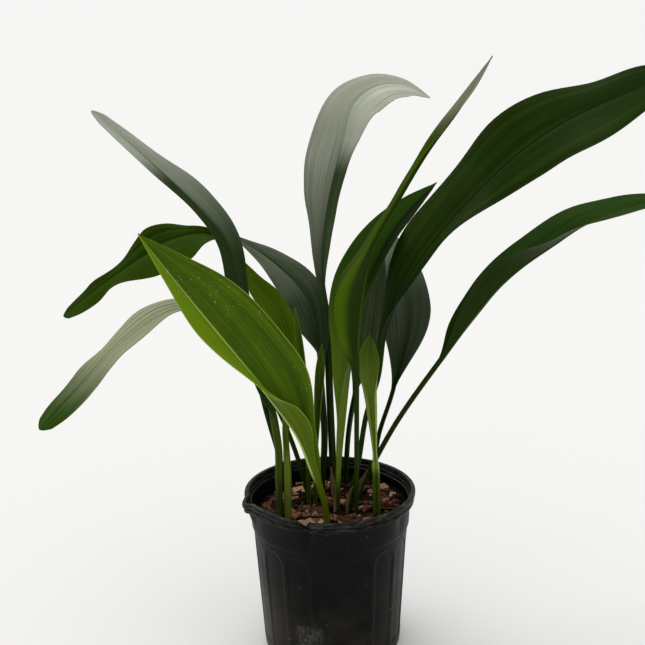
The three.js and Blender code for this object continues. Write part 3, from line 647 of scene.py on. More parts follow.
@dataclass(frozen=True)
class Leaf:
    """One leaf, stem and blade together, in millimetres and degrees.

    place and kind make up its names. The stem stands at foot and follows path. blade is the share of the
    length where the blade starts and heading the way it leans. The outline is either width with widest, the
    place of its greatest width, or half, the half widths at even steps. roll, fold and curl are keys along
    the blade, and the values that end in other hold for the right half, seen along the leaf with its upper
    face up. wave is the height, count and phase of the waves in its margins.
    """

    place: str
    finish: LeafFinish | DrySheathFinish
    foot: tuple[float, float]
    path: Sequence[Point]
    heading: float
    stem: float
    blade: float
    roll: Keys
    fold: Keys
    width: float = 0.0
    widest: float = 0.5
    half: Keys | None = None
    half_other: Keys | None = None
    fold_other: Keys | None = None
    curl: Keys = (0.0, 0.0)
    wave: Point = (0.0, 0.0, 0.0)
    arch: float = 9.0
    stem_rows: int = 22
    blade_rows: int = 76
    kind: str = "leaf"

    STEM_FOOT = 172.0
    STEM_SOIL = 197.0
    CHANNEL = 55.0
    THICKNESS = 1.0
    MARGIN_THICKNESS = 0.6
    MIDRIB = 1.4
    LEAST_HALF_WIDTH = 0.8
    STEM_DEPTH = 1.25
    STEM_LIFT = 0.2
    GROOVE = 0.5
    GROOVE_REACH = 0.06
    MIDRIB_REACH = 0.08
    FLUTTER = 1.1
    FLUTTER_SCALE = (2.3, 9.0)
    WAVE_LAG = 2.1
    BLADE_EASE = 8
    END_EASE = 5
    TIP_EASE = 4
    STEM_TAPER = 6
    END_CROWDING = 0.7
    OUTLINE_POWERS = (1.7, 1.3, 1.8)
    SHARP = 55.0
    TIP_ROUNDING = 0.03
    STOPS = (0.0, 0.025, 0.06, 0.15, 0.3, 0.45, 0.6, 0.75, 0.88, 0.96, 1.0)
    ACROSS = (*(-stop for stop in reversed(STOPS[1:])), *STOPS)

    @property
    def name(self) -> str:
        """Names the piece."""
        return f"{self.place}_{self.kind}"

    @property
    def node(self) -> str:
        """Names the CAD node that the piece stands for."""
        return f"{self.kind}_{self.place}"

    def outline(self, q: float) -> float:
        """Finds the share of the full width at a place along the blade."""
        base, fill, tip = self.OUTLINE_POWERS
        if q < self.widest:
            return (1 - (1 - q / self.widest) ** base) ** fill
        return 1 - ((q - self.widest) / (1 - self.widest)) ** tip

    def blade_half(self, u: float, q: float) -> float:
        """Finds the half width of the blade on the side of u."""
        half = self.half_other if u < 0 and self.half_other else self.half
        if half:
            return flowing(half, q) * math.sqrt(min(1.0, (1 - q) / self.TIP_ROUNDING))
        return self.width / 2 * self.outline(q)

    def stations(self, length: float) -> list[float]:
        """Lists the places of the sections, as shares of the length, closer together at the blade's ends."""
        buried = (self.STEM_SOIL - self.STEM_FOOT) / length
        stem = [lerp(buried, self.blade, i / self.stem_rows) for i in range(self.stem_rows)]
        blade = []
        for i in range(self.blade_rows + 1):
            t = i / self.blade_rows
            crowded = 0.5 - 0.5 * math.cos(math.pi * t)
            blade.append(lerp(self.blade, 1.0, lerp(t, crowded, self.END_CROWDING)))
        return [0.0, *stem, *blade]

    def half_section(self, u: float, q: float, on_blade: float) -> tuple[float, float, float]:
        """Works out the upper face of the section for a half width of 1.

        Args:
            u: The place across, from -1 at one margin to 1 at the other.
            q: The place along the blade.
            on_blade: 0 on the stem and 1 on the blade.

        Returns:
            How far across and up it is, and the slope there in radians.
        """
        fold = self.fold_other if u < 0 and self.fold_other else self.fold
        arch = self.arch * on_blade * smooth(self.TIP_EASE * (1 - q))
        start = math.radians(lerp(self.CHANNEL, keyed(fold, q), on_blade) + arch)
        turn = math.radians(keyed(self.curl, q) * on_blade - 2 * arch)
        a = abs(u)
        if abs(turn) < 1e-4:
            across, up = a * math.cos(start), a * math.sin(start)
        else:
            across = (math.sin(start + turn * a) - math.sin(start)) / turn
            up = (math.cos(start) - math.cos(start + turn * a)) / turn
        side = -1 if u < 0 else 1
        return side * across, up, 0.0 if u == 0 else side * (start + turn * a)

    def section(self, spine: Spine, s: float) -> list[Vector]:
        """Works out the ring of points at a place along the leaf.

        Args:
            spine: The leaf's line.
            s: The share of its length.

        Returns:
            The upper face from margin to margin, then the lower face back.
        """
        q = max(0.0, (s - self.blade) / (1 - self.blade))
        on_blade = smooth(q * self.BLADE_EASE)
        centre, along = spine.walk(s)
        heading = math.radians(self.heading)
        side = Vector((-math.sin(heading), math.cos(heading), 0.0))
        side = (side - along * side.dot(along)).normalized()
        turn = Matrix.Rotation(math.radians(keyed(self.roll, q)), 3, along)
        face = turn @ along.cross(side)
        side = turn @ side
        height, count, phase = self.wave
        ease = min(max(self.END_EASE * min(q, 1 - q), 0.0), 1.0)
        flutter_across, flutter_along = self.FLUTTER_SCALE
        upper: list[Vector] = []
        lower: list[Vector] = []
        for u in self.ACROSS:
            a = abs(u)
            full = self.blade_half(u, q) if q > 0 else 0.0
            half_width = max(self.LEAST_HALF_WIDTH, full + self.stem * (1 - q) ** self.STEM_TAPER)
            across, up, slope = self.half_section(u, q, on_blade)
            across *= half_width
            up *= half_width
            lag = 0.0 if u < 0 else self.WAVE_LAG
            up += height * a * a * math.sin(2 * math.pi * count * q + math.radians(phase) + lag) * ease
            flutter = noise.noise(Vector((flutter_across * u, flutter_along * q, self.foot[0])))
            up += self.FLUTTER * a * ease * flutter
            up += self.STEM_LIFT * self.stem * (1 - on_blade)
            up -= self.GROOVE * on_blade * ease * smooth(1 - a / self.GROOVE_REACH)
            blade_depth = lerp(self.THICKNESS, self.MARGIN_THICKNESS, a)
            blade_depth += self.MIDRIB * (1 - q) * smooth(1 - a / self.MIDRIB_REACH)
            depth = lerp(max(self.stem * (self.STEM_DEPTH - a), self.THICKNESS), blade_depth, on_blade)
            upper.append(centre + side * across + face * up)
            out = across + depth * math.sin(slope)
            lower.append(centre + side * out + face * (up - depth * math.cos(slope)))
        return upper + lower[::-1]

    def build(self) -> Piece:
        """Lofts the sections into one closed body, with the place across and along it as its UV map.

        Returns:
            The leaf.
        """
        spine = Spine([(*self.foot, self.STEM_FOOT), (*self.foot, self.STEM_SOIL), *self.path])
        stations = self.stations(spine.length)
        sections = [self.section(spine, s) for s in stations]
        columns = len(sections[0])
        rows = len(stations) - 1
        around = (*self.ACROSS, *reversed(self.ACROSS))
        bm = bmesh.new()
        bmesh.ops.create_grid(bm, x_segments=columns, y_segments=rows, size=0.5)
        uv = bm.loops.layers.uv.new(LEAF_UV)
        for face in bm.faces:
            column = int((face.calc_center_median().x + 0.5) * columns)
            face.material_index = (LeafSide.UPPER if column < len(self.ACROSS) else LeafSide.LOWER).value
            for loop in face.loops:
                column = round((loop.vert.co.x + 0.5) * columns) % columns
                row = round((loop.vert.co.y + 0.5) * rows)
                loop[uv].uv = ((around[column] + 1) / 2, stations[row])
        for vert in bm.verts:
            column = round((vert.co.x + 0.5) * columns) % columns
            vert.co = sections[round((vert.co.y + 0.5) * rows)][column]
        bmesh.ops.remove_doubles(bm, verts=bm.verts[:], dist=1e-4)
        bmesh.ops.holes_fill(bm, edges=[edge for edge in bm.edges if edge.is_boundary], sides=0)
        return finished(bm, self.name, self.SHARP)

    def dress(self, leaf: Piece) -> None:
        """Gives both faces of the leaf their finish."""
        seed = (self.foot[0] * 7 + self.foot[1] * 3) % 50
        for side in LeafSide:
            name = f"{self.name}_{side.name.lower()}"
            leaf.data.materials.append(self.finish.material(name, side, self.blade, seed))
        adopt(leaf, self.node)


YOUNG_LEAF = partial(Leaf, kind="young_leaf", heading=90, roll=(0, 0), fold=(15, 15, 15), arch=0)
SHEATH = partial(
    Leaf, kind="sheath", heading=270, stem=2, blade=0.42, widest=0.3, roll=(0, 0), fold=(10, 10), arch=0,
    stem_rows=4, blade_rows=16,
)
LEAVES = (
    Leaf(
        "front_left", BRIGHT, foot=(-5, -52), heading=200, stem=3.6, blade=0.121,
        path=[(-10, -55, 230), (-22, -62, 265), (-37, -76, 314), (-69, -102, 375), (-113, -134, 449),
              (-163, -168, 532), (-195, -188, 586)],
        half=(0, 8, 15, 27, 44, 54, 51, 44, 33, 19, 2),
        half_other=(0, 11, 23, 39, 55, 63, 62, 55, 42, 23, 2), roll=(0, -35, -45, -45),
        fold=(60, 65, 32, 20, 15), curl=(60, 20, 0, 0), wave=(3, 3, 40),
    ),
    Leaf(
        "left_upper", UPPER_LEFT, foot=(-66, -29), heading=185, stem=4.6, blade=0.195,
        path=[(-65, -30, 241), (-65, -28, 290), (-87, -22, 392), (-105, -20, 488), (-117, -26, 547),
              (-147, -40, 592), (-204, -68, 656), (-254, -98, 709)],
        half=(0, 6, 10, 14, 16, 15, 12, 10, 10, 9, 5), half_other=(0, 5, 7, 9, 11, 18, 26, 24, 15, 11, 6),
        roll=(-10, -68, -55, -48, -55), fold=(40, -25, -5, 5, 7), wave=(2, 3, 0),
    ),
    Leaf(
        "left_arching", ARCHING, foot=(-60, 62), heading=190, stem=3, blade=0.568,
        path=[(-67, 67, 228), (-88, 76, 312), (-108, 75, 440), (-125, 72, 526), (-152, 74, 543),
              (-201, 82, 534), (-236, 90, 514), (-290, 102, 480), (-361, 116, 427)],
        half=(0, 26, 38, 43, 38, 28, 20, 16, 16, 17, 9), half_other=(0, 5, 14, 27, 34, 29, 20, 13, 15, 16, 8),
        roll=(-50, -50, -42, -35, -30), fold=(40, 5, 0, -5, -5), wave=(4, 3, 0),
    ),
    Leaf(
        "left_low", LOW_LEFT, foot=(-29, 16), heading=190, stem=3, blade=0.457,
        path=[(-47, 20, 268), (-78, 28, 343), (-120, 30, 416), (-154, 22, 451), (-194, 2, 459),
              (-252, -34, 428), (-295, -62, 387), (-344, -98, 340)],
        half=(0, 8, 18, 28, 35, 36, 34, 29, 24, 18, 9), roll=(0, -8, -8, -20, -50), fold=(40, 10, 0, -8),
        wave=(2, 3, 0),
    ),
    Leaf(
        "left_inner", INNER_LEFT, foot=(-55, -32), heading=165, stem=4.6, blade=0.22,
        path=[(-54, -30, 254), (-57, -20, 304), (-52, -2, 359), (-54, 15, 421), (-70, 22, 462),
              (-88, 22, 486), (-110, 26, 522)],
        half=(0, 5, 10, 14, 18, 23, 27, 26, 19, 10, 1), half_other=(0, 3, 6, 9, 12, 15, 17, 18, 15, 8, 1),
        roll=(0, -50, -60), fold=(70, 35, 15), fold_other=(70, 35, 20),
    ),
    Leaf(
        "centre_left", MISTY, foot=(-11, 45), heading=160, stem=4.2, blade=0.406,
        path=[(-6, 44, 265), (-9, 42, 344), (-14, 44, 411), (-28, 45, 465), (-64, 52, 505),
              (-121, 66, 544)],
        half=(0, 10, 18, 26, 31, 31, 26, 19, 12, 6, 1), half_other=(0, 5, 12, 19, 24, 26, 24, 19, 13, 6, 1),
        roll=(0, -55, -60), fold=(50, 10, 5),
    ),
    Leaf(
        "centre_tall", TALL, foot=(6, 44), heading=45, stem=4.4, blade=0.377,
        path=[(3, 56, 318), (1, 68, 426), (-4, 82, 511), (4, 94, 575), (26, 112, 655), (41, 130, 703),
              (74, 148, 726), (112, 162, 726), (148, 172, 708)],
        half=(0, 5, 11, 20, 35, 44, 43, 32, 20, 10, 3), half_other=(0, 8, 20, 27, 26, 27, 34, 42, 42, 28, 3),
        roll=(0, 0, 8, 28, 60), fold=(50, 25, 15, 10), fold_other=(50, 20, 20, 10, 10),
    ),
    Leaf(
        "right_narrow", LIGHT_BELLY, foot=(34, -27), heading=0, stem=3,
        blade=0.331,
        path=[(35, -33, 294), (36, -40, 380), (38, -43, 440), (45, -43, 496), (57, -40, 542),
              (85, -42, 592), (121, -46, 652), (157, -54, 702), (191, -66, 759)],
        half=(0, 20, 33, 34, 20, 12, 10, 10, 11, 7, 1), roll=(0, 0, 0, 0, 20, 30),
        fold=(85, 70, 25, 40, 30, 5), arch=5,
    ),
    Leaf(
        "right_folded", LIGHT_FOOTED, foot=(10, -8), heading=15, stem=3.2,
        blade=0.12,
        path=[(11, -8, 229), (20, -2, 310), (30, 5, 388), (44, 15, 460), (61, 27, 504), (81, 43, 540),
              (109, 66, 570), (148, 92, 602)],
        half=(0, 4, 9, 18, 27, 38, 42, 37, 27, 15, 2),
        half_other=(0, 6, 12, 20, 28, 33, 34, 29, 21, 12, 2), roll=(0, 15, 25), fold=(80, 50, 30),
        fold_other=(80, 30, 5), arch=4,
    ),
    Leaf(
        "right_broad", BROAD, foot=(23, -12), heading=0, stem=3.2, blade=0.261,
        path=[(36, -5, 242), (49, 5, 312), (65, 12, 361), (76, 12, 427), (100, 8, 487), (137, -2, 544),
              (187, -24, 606), (231, -48, 652), (274, -74, 686), (344, -112, 722), (396, -140, 741)],
        half=(0, 10, 27, 41, 47, 50, 54, 48, 32, 25, 4), half_other=(0, 7, 12, 18, 26, 34, 40, 47, 47, 26, 4),
        roll=(0, 30, 48, 52), fold=(40, 15, 5, 0), wave=(4, 3, 0),
    ),
    Leaf(
        "right_back", HAZY, foot=(62, 58), heading=80, stem=3, blade=0.402,
        path=[(67, 52, 264), (88, 64, 327), (107, 92, 403), (104, 136, 478), (101, 190, 518)],
        width=74, widest=0.46, roll=(0, 0), fold=(50, 15, 10),
    ),
    Leaf(
        "right_inner", RIBBED, foot=(23, 77), heading=60, stem=3.2, blade=0.42,
        path=[(28, 75, 267), (37, 72, 319), (56, 66, 391), (66, 68, 455), (76, 73, 518)],
        width=54, widest=0.42, roll=(0, 0), fold=(50, 20, 10),
    ),
    Leaf(
        "right_low", LOW_RIGHT, foot=(40, 25), heading=0, stem=3.2, blade=0.361,
        path=[(57, 25, 234), (92, 26, 298), (148, 30, 378), (194, 36, 437), (222, 40, 470),
              (251, 44, 495), (294, 50, 523), (342, 58, 551), (416, 70, 572), (491, 82, 573)],
        half=(0, 18, 28, 33, 37, 39, 39, 34, 25, 14, 1),
        half_other=(0, 12, 26, 35, 37, 36, 33, 27, 19, 10, 1),
        roll=(0, 0, 10, 20), fold=(80, 50, 35, 15, 5), fold_other=(80, 70, 30, 5, 0), arch=5,
    ),
    YOUNG_LEAF(
        "right", YOUNG, foot=(60, -30), stem=4.8, blade=0.323, width=46, widest=0.74, curl=(125, 120, 40),
        path=[(59, -27, 254), (55, -18, 328), (51, -13, 386), (53, -12, 425)],
    ),
    YOUNG_LEAF(
        "left", SHOOT, foot=(-28, 10), stem=2.6, blade=0.299, width=24, widest=0.5, curl=(120, 115, 60),
        path=[(-28, 2, 258), (-29, -3, 338), (-34, -6, 412), (-39, -7, 460)],
    ),
    YOUNG_LEAF(
        "centre", SHOOT, foot=(-20, 16), stem=2.4, blade=0.326, width=24, widest=0.6, curl=(120, 110, 40),
        path=[(-17, 14, 249), (-13, 12, 333), (-6, 12, 408)],
    ),
    SHEATH(
        "left", OLIVE, foot=(-66, -38.5), path=[(-66, -38.2, 215), (-65, -37, 242)], width=10,
        curl=(70, 50),
    ),
    SHEATH("front", DRY, foot=(6, -20), path=[(5, -20, 220), (2, -19, 252)], width=7, curl=(60, 40)),
    SHEATH("right", DRY, foot=(22, -20.5), path=[(25, -19.5, 212), (30, -17, 224)], width=8, curl=(70, 50)),
    SHEATH("back", DRY, foot=(37, 16), path=[(41, 16, 212), (50, 16, 232)], width=8, curl=(70, 50)),
)


@dataclass(frozen=True)
class PotFinish:
    """Near-black moulded plastic with a dusty foot, a lighter patch low on the left, a grey smudge low in
    front and a few pale specks, with a painted highlight in streaks on the lip and dust mixed with a painted
    highlight on faces that look up.
    """

    slot: str = "pot_plastic"
    plastic: Colour = (0.0009, 0.001, 0.0009)
    worn: Colour = (0.0032, 0.0032, 0.0026)
    # Painted highlight: streaks on the lip are lightened to stand for the glints along its ridges.
    lip: Colour = (0.04, 0.04, 0.036)
    lip_highlight_heights: tuple[float, float] = (0.199, 0.205)
    # Dust colour: real dust at the foot, the lighter patch low on the left, and dust on faces that look up,
    # where it also stands for a painted highlight along the ridge tops.
    dust_and_highlight: Colour = (0.055, 0.045, 0.03)
    dust_top: float = 0.15
    # The lower left of the body is lightened between these heights and across this reach.
    left_pale_heights: tuple[float, float] = (0.125, 0.04)
    left_pale_reach: tuple[float, float] = (-0.055, -0.088)
    smudge: Colour = (0.13, 0.13, 0.118)
    smudge_place: tuple[float, float] = (-0.029, 0.048)
    smudge_reach: tuple[float, float] = (0.017, 0.017)
    fleck: Colour = (0.22, 0.2, 0.17)
    least_roughness: float = 0.36
    relief: float = 0.0004

    def material(self) -> Material:
        """Makes the pot's material."""
        sheet = NodeSheet("nursery_pot_plastic")
        place = sheet.position()
        right, away, height = sheet.split(place)
        patches = sheet.noise(place, 22.0, 4.0, 0.6)
        grain = sheet.noise(place, 900.0, 2.0)
        colour = sheet.mix(sheet.band(patches, 0.4, 0.75), self.plastic, self.worn)
        # Painted highlight: lightened streaks on the lip stand for glints on its ridges.
        glint_streaks = sheet.noise(sheet.join(right, away, sheet.times(height, 9.0)), 70.0, 4.0, 0.6)
        lip = sheet.times(sheet.band(height, *self.lip_highlight_heights), sheet.band(glint_streaks, 0.42, 0.66))
        colour = sheet.mix(lip, colour, self.lip)
        low = sheet.times(sheet.band(height, self.dust_top, 0.0, 0.42), sheet.band(patches, 0.3, 0.75))
        colour = sheet.mix(low, colour, self.dust_and_highlight)
        # Lightens the lower left of the body.
        beside = sheet.band(right, *self.left_pale_reach)
        left = sheet.times(sheet.band(height, *self.left_pale_heights, 0.6), beside)
        colour = sheet.mix(left, colour, self.dust_and_highlight)
        cloud = sheet.noise(place, 60.0, 6.0, 0.7)
        scratches = sheet.noise(sheet.join(right, away, sheet.times(height, 0.5)), 320.0, 4.0, 0.65)
        near = sheet.math("MAXIMUM", *(
            sheet.math("DIVIDE", sheet.math("ABSOLUTE", sheet.math("SUBTRACT", value, middle)), reach)
            for value, middle, reach in zip((right, height), self.smudge_place, self.smudge_reach)
        ))
        near = sheet.band(sheet.sum(near, sheet.times(cloud, 1.8)), 2.05, 1.55)
        near = sheet.times(near, sheet.band(away, 0.0, -0.02))
        rubbed = sheet.sum(sheet.band(scratches, 0.36, 0.64, 0.25), sheet.band(cloud, 0.4, 0.62, 0.35))
        colour = sheet.mix(sheet.times(near, rubbed), colour, self.smudge)
        # Dust on faces that look up, partly a painted highlight along the ridge tops.
        ledge = sheet.times(sheet.band(sheet.upness(), 0.5, 1.0, 0.35), sheet.band(cloud, 0.35, 0.7))
        colour = sheet.mix(ledge, colour, self.dust_and_highlight)
        flecks = sheet.times(sheet.dots(place, 130.0, 0.11), sheet.band(patches, 0.55, 0.62))
        colour = sheet.mix(flecks, colour, self.fleck)
        rough = sheet.sum(sheet.band(patches, 0.25, 0.75, 0.14), self.least_roughness)
        sheet.shade(base_color=colour, roughness=rough, specular_ior_level=0.1)
        sheet.bump(sheet.sum(sheet.times(grain, 0.3), cloud), self.relief, 0.35)
        return sheet.material


@dataclass
class NurseryPot:
    """Round nursery pot with a rolled lip, a smooth collar and arched panels, in millimetres."""

    height: float = 216.0
    floor_radius: float = 91.0
    floor_thickness: float = 3.0
    wall: float = 2.4
    collar_bottom: float = 169.0
    collar_top: float = 201.0
    body_top_radius: float = 101.5
    collar_radius: float = 103.5
    collar_top_radius: float = 105.5
    lip_radius: float = 112.0
    lip_inner_radius: float = 105.5
    panel_count: int = 16
    panel_start: float = -92.5
    panel_bottom: float = 16.0
    panel_spring: float = 144.0
    panel_half_width: float = 16.6
    panel_half_width_bottom: float = 15.0
    panel_depth: float = 1.0
    drain_count: int = 8
    drain_radius: float = 7.0
    drain_ring: float = 80.0
    sides: int = 384
    pushes: Sequence[tuple[float, float, float, float]] = (
        (-162, 9, 6.5, 3.5), (-134, 22, -3, 0), (-106, 4.5, -7, 2.5), (-58, 18, -2, 1),
    )
    dent: Point = (-32.0, 188.0, 1.6)
    notch_angle: float = -108.5
    notch_spread: float = 3.6
    notch_depth: float = 11.0
    worn_angle: float = -58.0
    worn_spread: float = 20.0
    worn_out: float = 1.1
    worn_up: float = 0.7
    notch_inward: float = 0.8
    panel_edge: float = 1.8
    dent_reach: float = 8.0

    def body_radius(self, z: float) -> float:
        """Finds the outside radius of the tapering body at a height."""
        return lerp(self.floor_radius, self.body_top_radius, z / self.collar_bottom)

    def inner_radius(self, z: float) -> float:
        """Finds the inside radius at a height below the lip."""
        if z < self.collar_bottom:
            return self.body_radius(z) - self.wall
        t = (z - self.collar_bottom) / (self.height - self.collar_bottom)
        return lerp(self.body_top_radius - self.wall, self.lip_inner_radius, t)

    def rim_push(self, angle: float) -> tuple[float, float]:
        """Finds how far the knocked rim goes out and down at an angle in degrees."""
        out = down = 0.0
        for place, spread, push, drop in self.pushes:
            share = smooth(1 - abs((angle - place + 180) % 360 - 180) / spread)
            out += push * share
            down += drop * share
        return out, down

    def push_at(self, z: float) -> float:
        """Finds how much of the rim's push reaches a height."""
        return smooth((z - self.collar_bottom) / (self.height - self.collar_bottom))

    def panel_depth_at(self, angle: float, z: float) -> float:
        """Finds how deep the arched panels lie under the body at an angle in degrees and a height."""
        pitch = 360 / self.panel_count
        away = abs((angle - self.panel_start + pitch / 2) % pitch - pitch / 2)
        across = math.radians(away) * self.body_radius(z)
        if z < self.panel_spring:
            share = (z - self.panel_bottom) / (self.panel_spring - self.panel_bottom)
            inside = lerp(self.panel_half_width_bottom, self.panel_half_width, share) - across
        else:
            inside = self.panel_half_width - math.hypot(across, z - self.panel_spring)
        inside = min(inside, z - self.panel_bottom)
        return self.panel_depth * smooth(inside / self.panel_edge)

    def profile(self) -> list[tuple[float, float]]:
        """Lists radius and height from the middle of the underside, up the outside and down the inside."""
        top, rim, collar, inner = self.collar_top, self.height, self.collar_radius, self.lip_inner_radius
        heights = [14, 15, 16, 17, 18, 20, 40, 80, 120, 140, *(142 + 1.4 * i for i in range(15)), 164, 167.5]
        outside = [(0, 0, 0), (self.floor_radius - 0.4, 0, 2.5)]
        outside += [(self.body_radius(z), z, 0) for z in (12, *heights)]
        lip = [
            (self.body_top_radius, self.collar_bottom, 0.8), (collar, self.collar_bottom + 2, 0.8),
            (collar + 0.6, 180, 0), (collar + 0.9, 188, 0), (collar + 1.3, 192, 0),
            (self.collar_top_radius, top, 0.7), (110.5, top + 0.8, 1.2), (110.6, top + 5.4, 1.2),
            (108.6, top + 7, 0.8), (111.9, top + 8.6, 1.2), (self.lip_radius, rim - 0.6, 1.8),
            (inner + 1.0, rim, 1.0), (inner - 0.2, rim - 3, 0.5), (inner - 0.3, rim - 7, 0.2),
            (inner - 1.3, rim - 7.6, 0.2), (inner - 1.6, rim - 12, 0.2),
            (self.inner_radius(top) - 0.9, rim - 12.6, 0.2),
        ]
        lip += [(self.inner_radius(z), z, 0) for z in (195, self.collar_bottom, 90, self.floor_thickness)]
        lip.append((0, self.floor_thickness, 0))
        return softened(outside + lip)

    def shaped(self, x: float, y: float, z: float) -> Vector:
        """Presses in the panels and the dent, and knocks the rim, at one point of the turned pot.

        Args:
            x: Across, in millimetres.
            y: Away.
            z: Up.

        Returns:
            Where the point goes.
        """
        radius = math.hypot(x, y)
        if radius < self.floor_radius - 8:
            return Vector((x, y, z))
        angle = math.degrees(math.atan2(y, x))
        out, down = self.rim_push(angle)
        moved = radius + out * self.push_at(z)
        if self.panel_bottom - 2 < z < self.collar_bottom - 3 and radius > self.body_radius(z) - 0.5:
            moved -= self.panel_depth_at(angle, z)
        dent_angle, dent_height, dent_depth = self.dent
        off = math.hypot(math.radians(angle - dent_angle) * radius, z - dent_height) / self.dent_reach
        moved -= dent_depth * math.exp(-off * off)
        if z > self.collar_top:
            rough = smooth(1 - abs(angle - self.worn_angle) / self.worn_spread)
            moved += self.worn_out * rough * noise.noise(Vector((x / 4, y / 4, z / 4)))
            z += self.worn_up * rough * noise.noise(Vector((x / 5, y / 5, 7.0)))
            crease = max(0.0, 1 - abs(angle - self.notch_angle) / self.notch_spread) ** 1.5
            moved -= self.notch_inward * self.notch_depth * crease * smooth((z - self.collar_top) / 5)
            z -= self.notch_depth * crease * smooth((z - self.collar_top - 2) / 11)
        return Vector((x * moved / radius, y * moved / radius, z - down * self.push_at(z)))

    def build(self) -> Piece:
        """Turns the pot, shapes it and drills its drain holes.

        Returns:
            The pot.
        """
        bm = turned(self.profile(), self.sides)
        for vert in bm.verts:
            vert.co = self.shaped(*vert.co)
        pot = finished(bm, "nursery_pot", 50.0)
        cutter = self.drains()
        cut = pot.modifiers.new("drain_holes", "BOOLEAN")
        cut.object = cutter
        cut.solver = "EXACT"
        view = bpy.context.evaluated_depsgraph_get()
        drilled = bpy.data.meshes.new_from_object(pot.evaluated_get(view))
        pot.modifiers.clear()
        pot.data = drilled
        drilled.name = pot.name
        bpy.data.objects.remove(cutter)
        return pot

    def drains(self) -> Piece:
        """Makes the pegs that cut the drain holes."""
        bm = bmesh.new()
        for i in range(self.drain_count):
            angle = (i + 0.5) * 2 * math.pi / self.drain_count
            place = Vector((self.drain_ring * math.cos(angle), self.drain_ring * math.sin(angle), 0))
            bmesh.ops.create_cone(
                bm, cap_ends=True, segments=20, radius1=self.drain_radius, radius2=self.drain_radius,
                depth=4 * self.floor_thickness, matrix=Matrix.Translation(place),
            )
        return finished(bm, "drain_pegs")

    def dress(self, pot: Piece) -> None:
        """Gives the pot its plastic."""
        finish = PotFinish()
        pot.data.materials.clear()
        pot.data.materials.append(finish.material())
        adopt(pot, "pot")


@dataclass(frozen=True)
class BarkFinish:
    """Damp composted bark: dark crumbs with red-brown and tan chips."""

    slot: str = "bark_soil"
    crumbs: Sequence[tuple[float, Colour]] = (
        (0.3, (0.0018, 0.001, 0.0007)),
        (0.5, (0.008, 0.0038, 0.0024)),
        (0.75, (0.03, 0.0135, 0.008)),
    )
    chips: Sequence[tuple[float, Colour]] = (
        (0.0, (0.004, 0.002, 0.0013)),
        (0.35, (0.026, 0.0105, 0.005)),
        (0.62, (0.09, 0.036, 0.017)),
        (0.85, (0.215, 0.105, 0.055)),
        (1.0, (0.44, 0.29, 0.18)),
    )
    cracks: Colour = (0.004, 0.0025, 0.002)
    crumb_scale: float = 260.0
    crumb_depth: float = 0.003
    chip_scale: float = 420.0
    chip_depth: float = 0.0014

    def crumb_material(self) -> Material:
        """Makes the material of the fine soil between the chips."""
        sheet = NodeSheet("bark_crumbs")
        grain = sheet.noise(sheet.position(), self.crumb_scale, 6.0, 0.7)
        colour = sheet.ramp(grain, self.crumbs)
        sheet.shade(base_color=colour, roughness=0.95, specular_ior_level=0.04)
        sheet.bump(grain, self.crumb_depth, 1.0)
        return sheet.material

    def chip_material(self) -> Material:
        """Makes the material of the chips, each with its own tone."""
        sheet = NodeSheet("bark_chips")
        tone = sheet.node("ShaderNodeAttribute", {}, attribute_name=TONE).outputs["Fac"]
        grain = sheet.noise(sheet.position(), self.chip_scale, 5.0, 0.7)
        shift = sheet.times(sheet.math("SUBTRACT", grain, 0.5), 0.5)
        colour = sheet.ramp(sheet.sum(tone, shift), self.chips)
        colour = sheet.mix(sheet.band(grain, 0.5, 0.3, 0.6), colour, self.cracks)
        sheet.shade(base_color=colour, roughness=0.85, specular_ior_level=0.06)
        sheet.bump(grain, self.chip_depth, 0.9)
        return sheet.material


